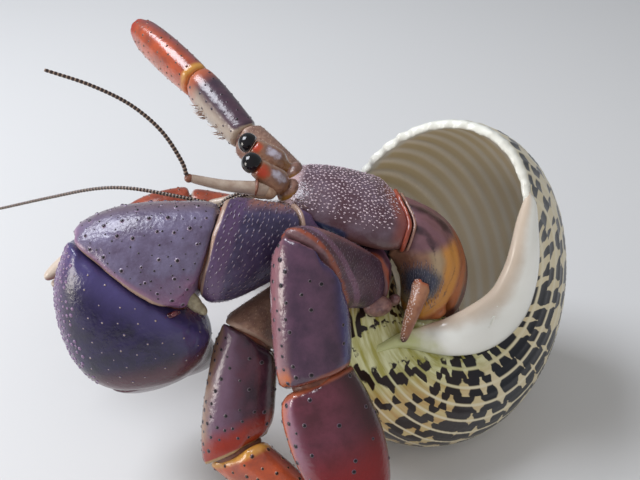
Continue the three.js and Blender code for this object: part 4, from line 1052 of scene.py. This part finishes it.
# ---- Feelers ----
# Antennas and antennules: stiff cream base joints, then whips of many short chitin rings. Here too are the
# soft collars round the roots of the antennas and eye stalks.
for side in ("left", "right"):
    node = f"antenna_base_{side}"
    piece = fine_copy(node + "_shell", [node], 0.13, 5, swell=0.1)
    mark_faces(piece)
    chitin = cuticle(node + "_chitin", 0xB8A898, 0x947C6C, gloss=0.22, coat=0.7)
    finish_piece(piece, chitin, "antenna_base", node)
blob("antenna_roots", [((-1.0, -3.4, 43.9), (1.3, 0, 0.3), (0, 1.2, 0), (-0.3, 0, 1.2)),
                       ((-2.6, -4.2, 43.9), (1.7, 0.1, -0.5), (0, 0.5, 0), (0.2, 0, 0.6)),
                       ((-1.6, 4.2, 40.6), (1.3, 0, 0.3), (0, 1.2, 0), (-0.3, 0, 1.2))],
     cuticle("antenna_root_chitin", 0xB8A088, 0x94705A, gloss=0.3, coat=0.4, mottle=1.0), "antenna_base")
blob("antenna_joints", [((-12.6, -5.35, 47.7), (0.7, 0, 0), (0, 0.68, 0), (0, 0, 0.68)),
                        ((-2.9, -3.95, 45.05), (0.38, 0.07, -0.11), (-0.2, 1.3, 0), (0.37, 0.06, 1.3))],
     cuticle("antenna_joint_skin", 0x8A5A44, 0x6E4234, gloss=0.35, coat=0.3, mottle=0.8), "antenna_base")
# The eye stalks' sockets: a soft brown collar round each root, amber below.
sockets = blob("eye_sockets", [((1.95, -1.8, 43.1), (0.85, -0.02, -0.87), (0, 2.1, 0), (1.5, 0, 1.46)),
                               ((2.6, 2.2, 43.7), (1.0, -0.25, -0.66), (0.5, 2.0, 0), (1.05, -0.3, 1.7))],
               cuticle("eye_socket_skin", 0x8A6658, 0x5E4036, [("under", -0.1, 0.6, 0x9A702E, 0.5)],
                       gloss=0.4, coat=0.3, mottle=1.0, relief=0.4), "eyestalk")
mark_faces(sockets)
# Each feeler's line, and its radius at its root and its tip and the spacing of its rings, in mm.
ANTENNA, ANTENNULE = (0.36, 0.26, 0.58), (0.4, 0.25, 0.5)
FEELERS = {
    "antenna_flagellum_left": (ANTENNA, [
        (-12.87, -5.45, 48.3), (-13.57, -4.75, 50.5), (-16.07, -3.85, 54.9), (-19.97, -3.35, 58.8),
        (-24.77, -4.35, 62.4), (-30.57, -4.85, 65.0)]),
    "antenna_flagellum_right": (ANTENNA, [
        (-11.77, 2.75, 37.5), (-16.87, 3.55, 38.3), (-24.67, 5.05, 38.8), (-31.07, 6.35, 37.8),
        (-39.77, 7.75, 35.0), (-49.27, 9.05, 31.8)]),
    "antennule_left": (ANTENNULE, [
        (-1.27, -1.35, 42.4), (-5.07, -1.55, 42.0), (-8.87, -2.35, 40.4), (-10.47, -2.75, 37.6)]),
    "antennule_right": (ANTENNULE, [
        (-1.47, 0.25, 42.1), (-5.27, 0.25, 41.4), (-8.67, 0.05, 39.6), (-10.07, -0.15, 36.8)]),
}
# Dark chitin rings with paler joints between them.
whip, tree, shader = new_material("ringed_feeler_chitin", Roughness=0.35, Coat_Weight=0.2)
ring_mark = add(tree, "Attribute", out="Fac", attribute_name="ring")
share = add(tree, "MapRange", ring_mark, 0.05, 0.4)
colour = add(tree, "MixRGB", share, linear(0x9A8474), linear(0x33241F))
tree.links.new(colour, shader.inputs["Base Color"])
for node, ((thick, thin, pitch), points) in FEELERS.items():
    line = through(points, 400)
    steps = np.linalg.norm(np.diff(line, axis=0), axis=1)
    length = np.concatenate([[0], np.cumsum(steps)])
    rings = int(length[-1] / pitch) * 6
    where = np.linspace(0, length[-1], rings)
    line = np.stack([np.interp(where, length, line[:, i]) for i in range(3)], 1)
    swollen = (1 - np.cos(TURN * where / pitch)) / 2
    radius = np.interp(where, [0, length[-1]], [thick, thin]) * (0.82 + 0.18 * swollen)
    stations = []
    for i in range(rings):
        ahead = Vector(line[min(i + 1, rings - 1)] - line[max(i - 1, 0)]).normalized()
        aside = ahead.cross(Vector((0.2, 0.3, 1))).normalized()
        stations.append((line[i], aside * radius[i], aside.cross(ahead) * radius[i]))
    piece = loft(node + "_rings", stations, 9)
    set_mark(piece.data, "ring", np.repeat(swollen, 9))
    finish_piece(piece, whip, "feeler", node)
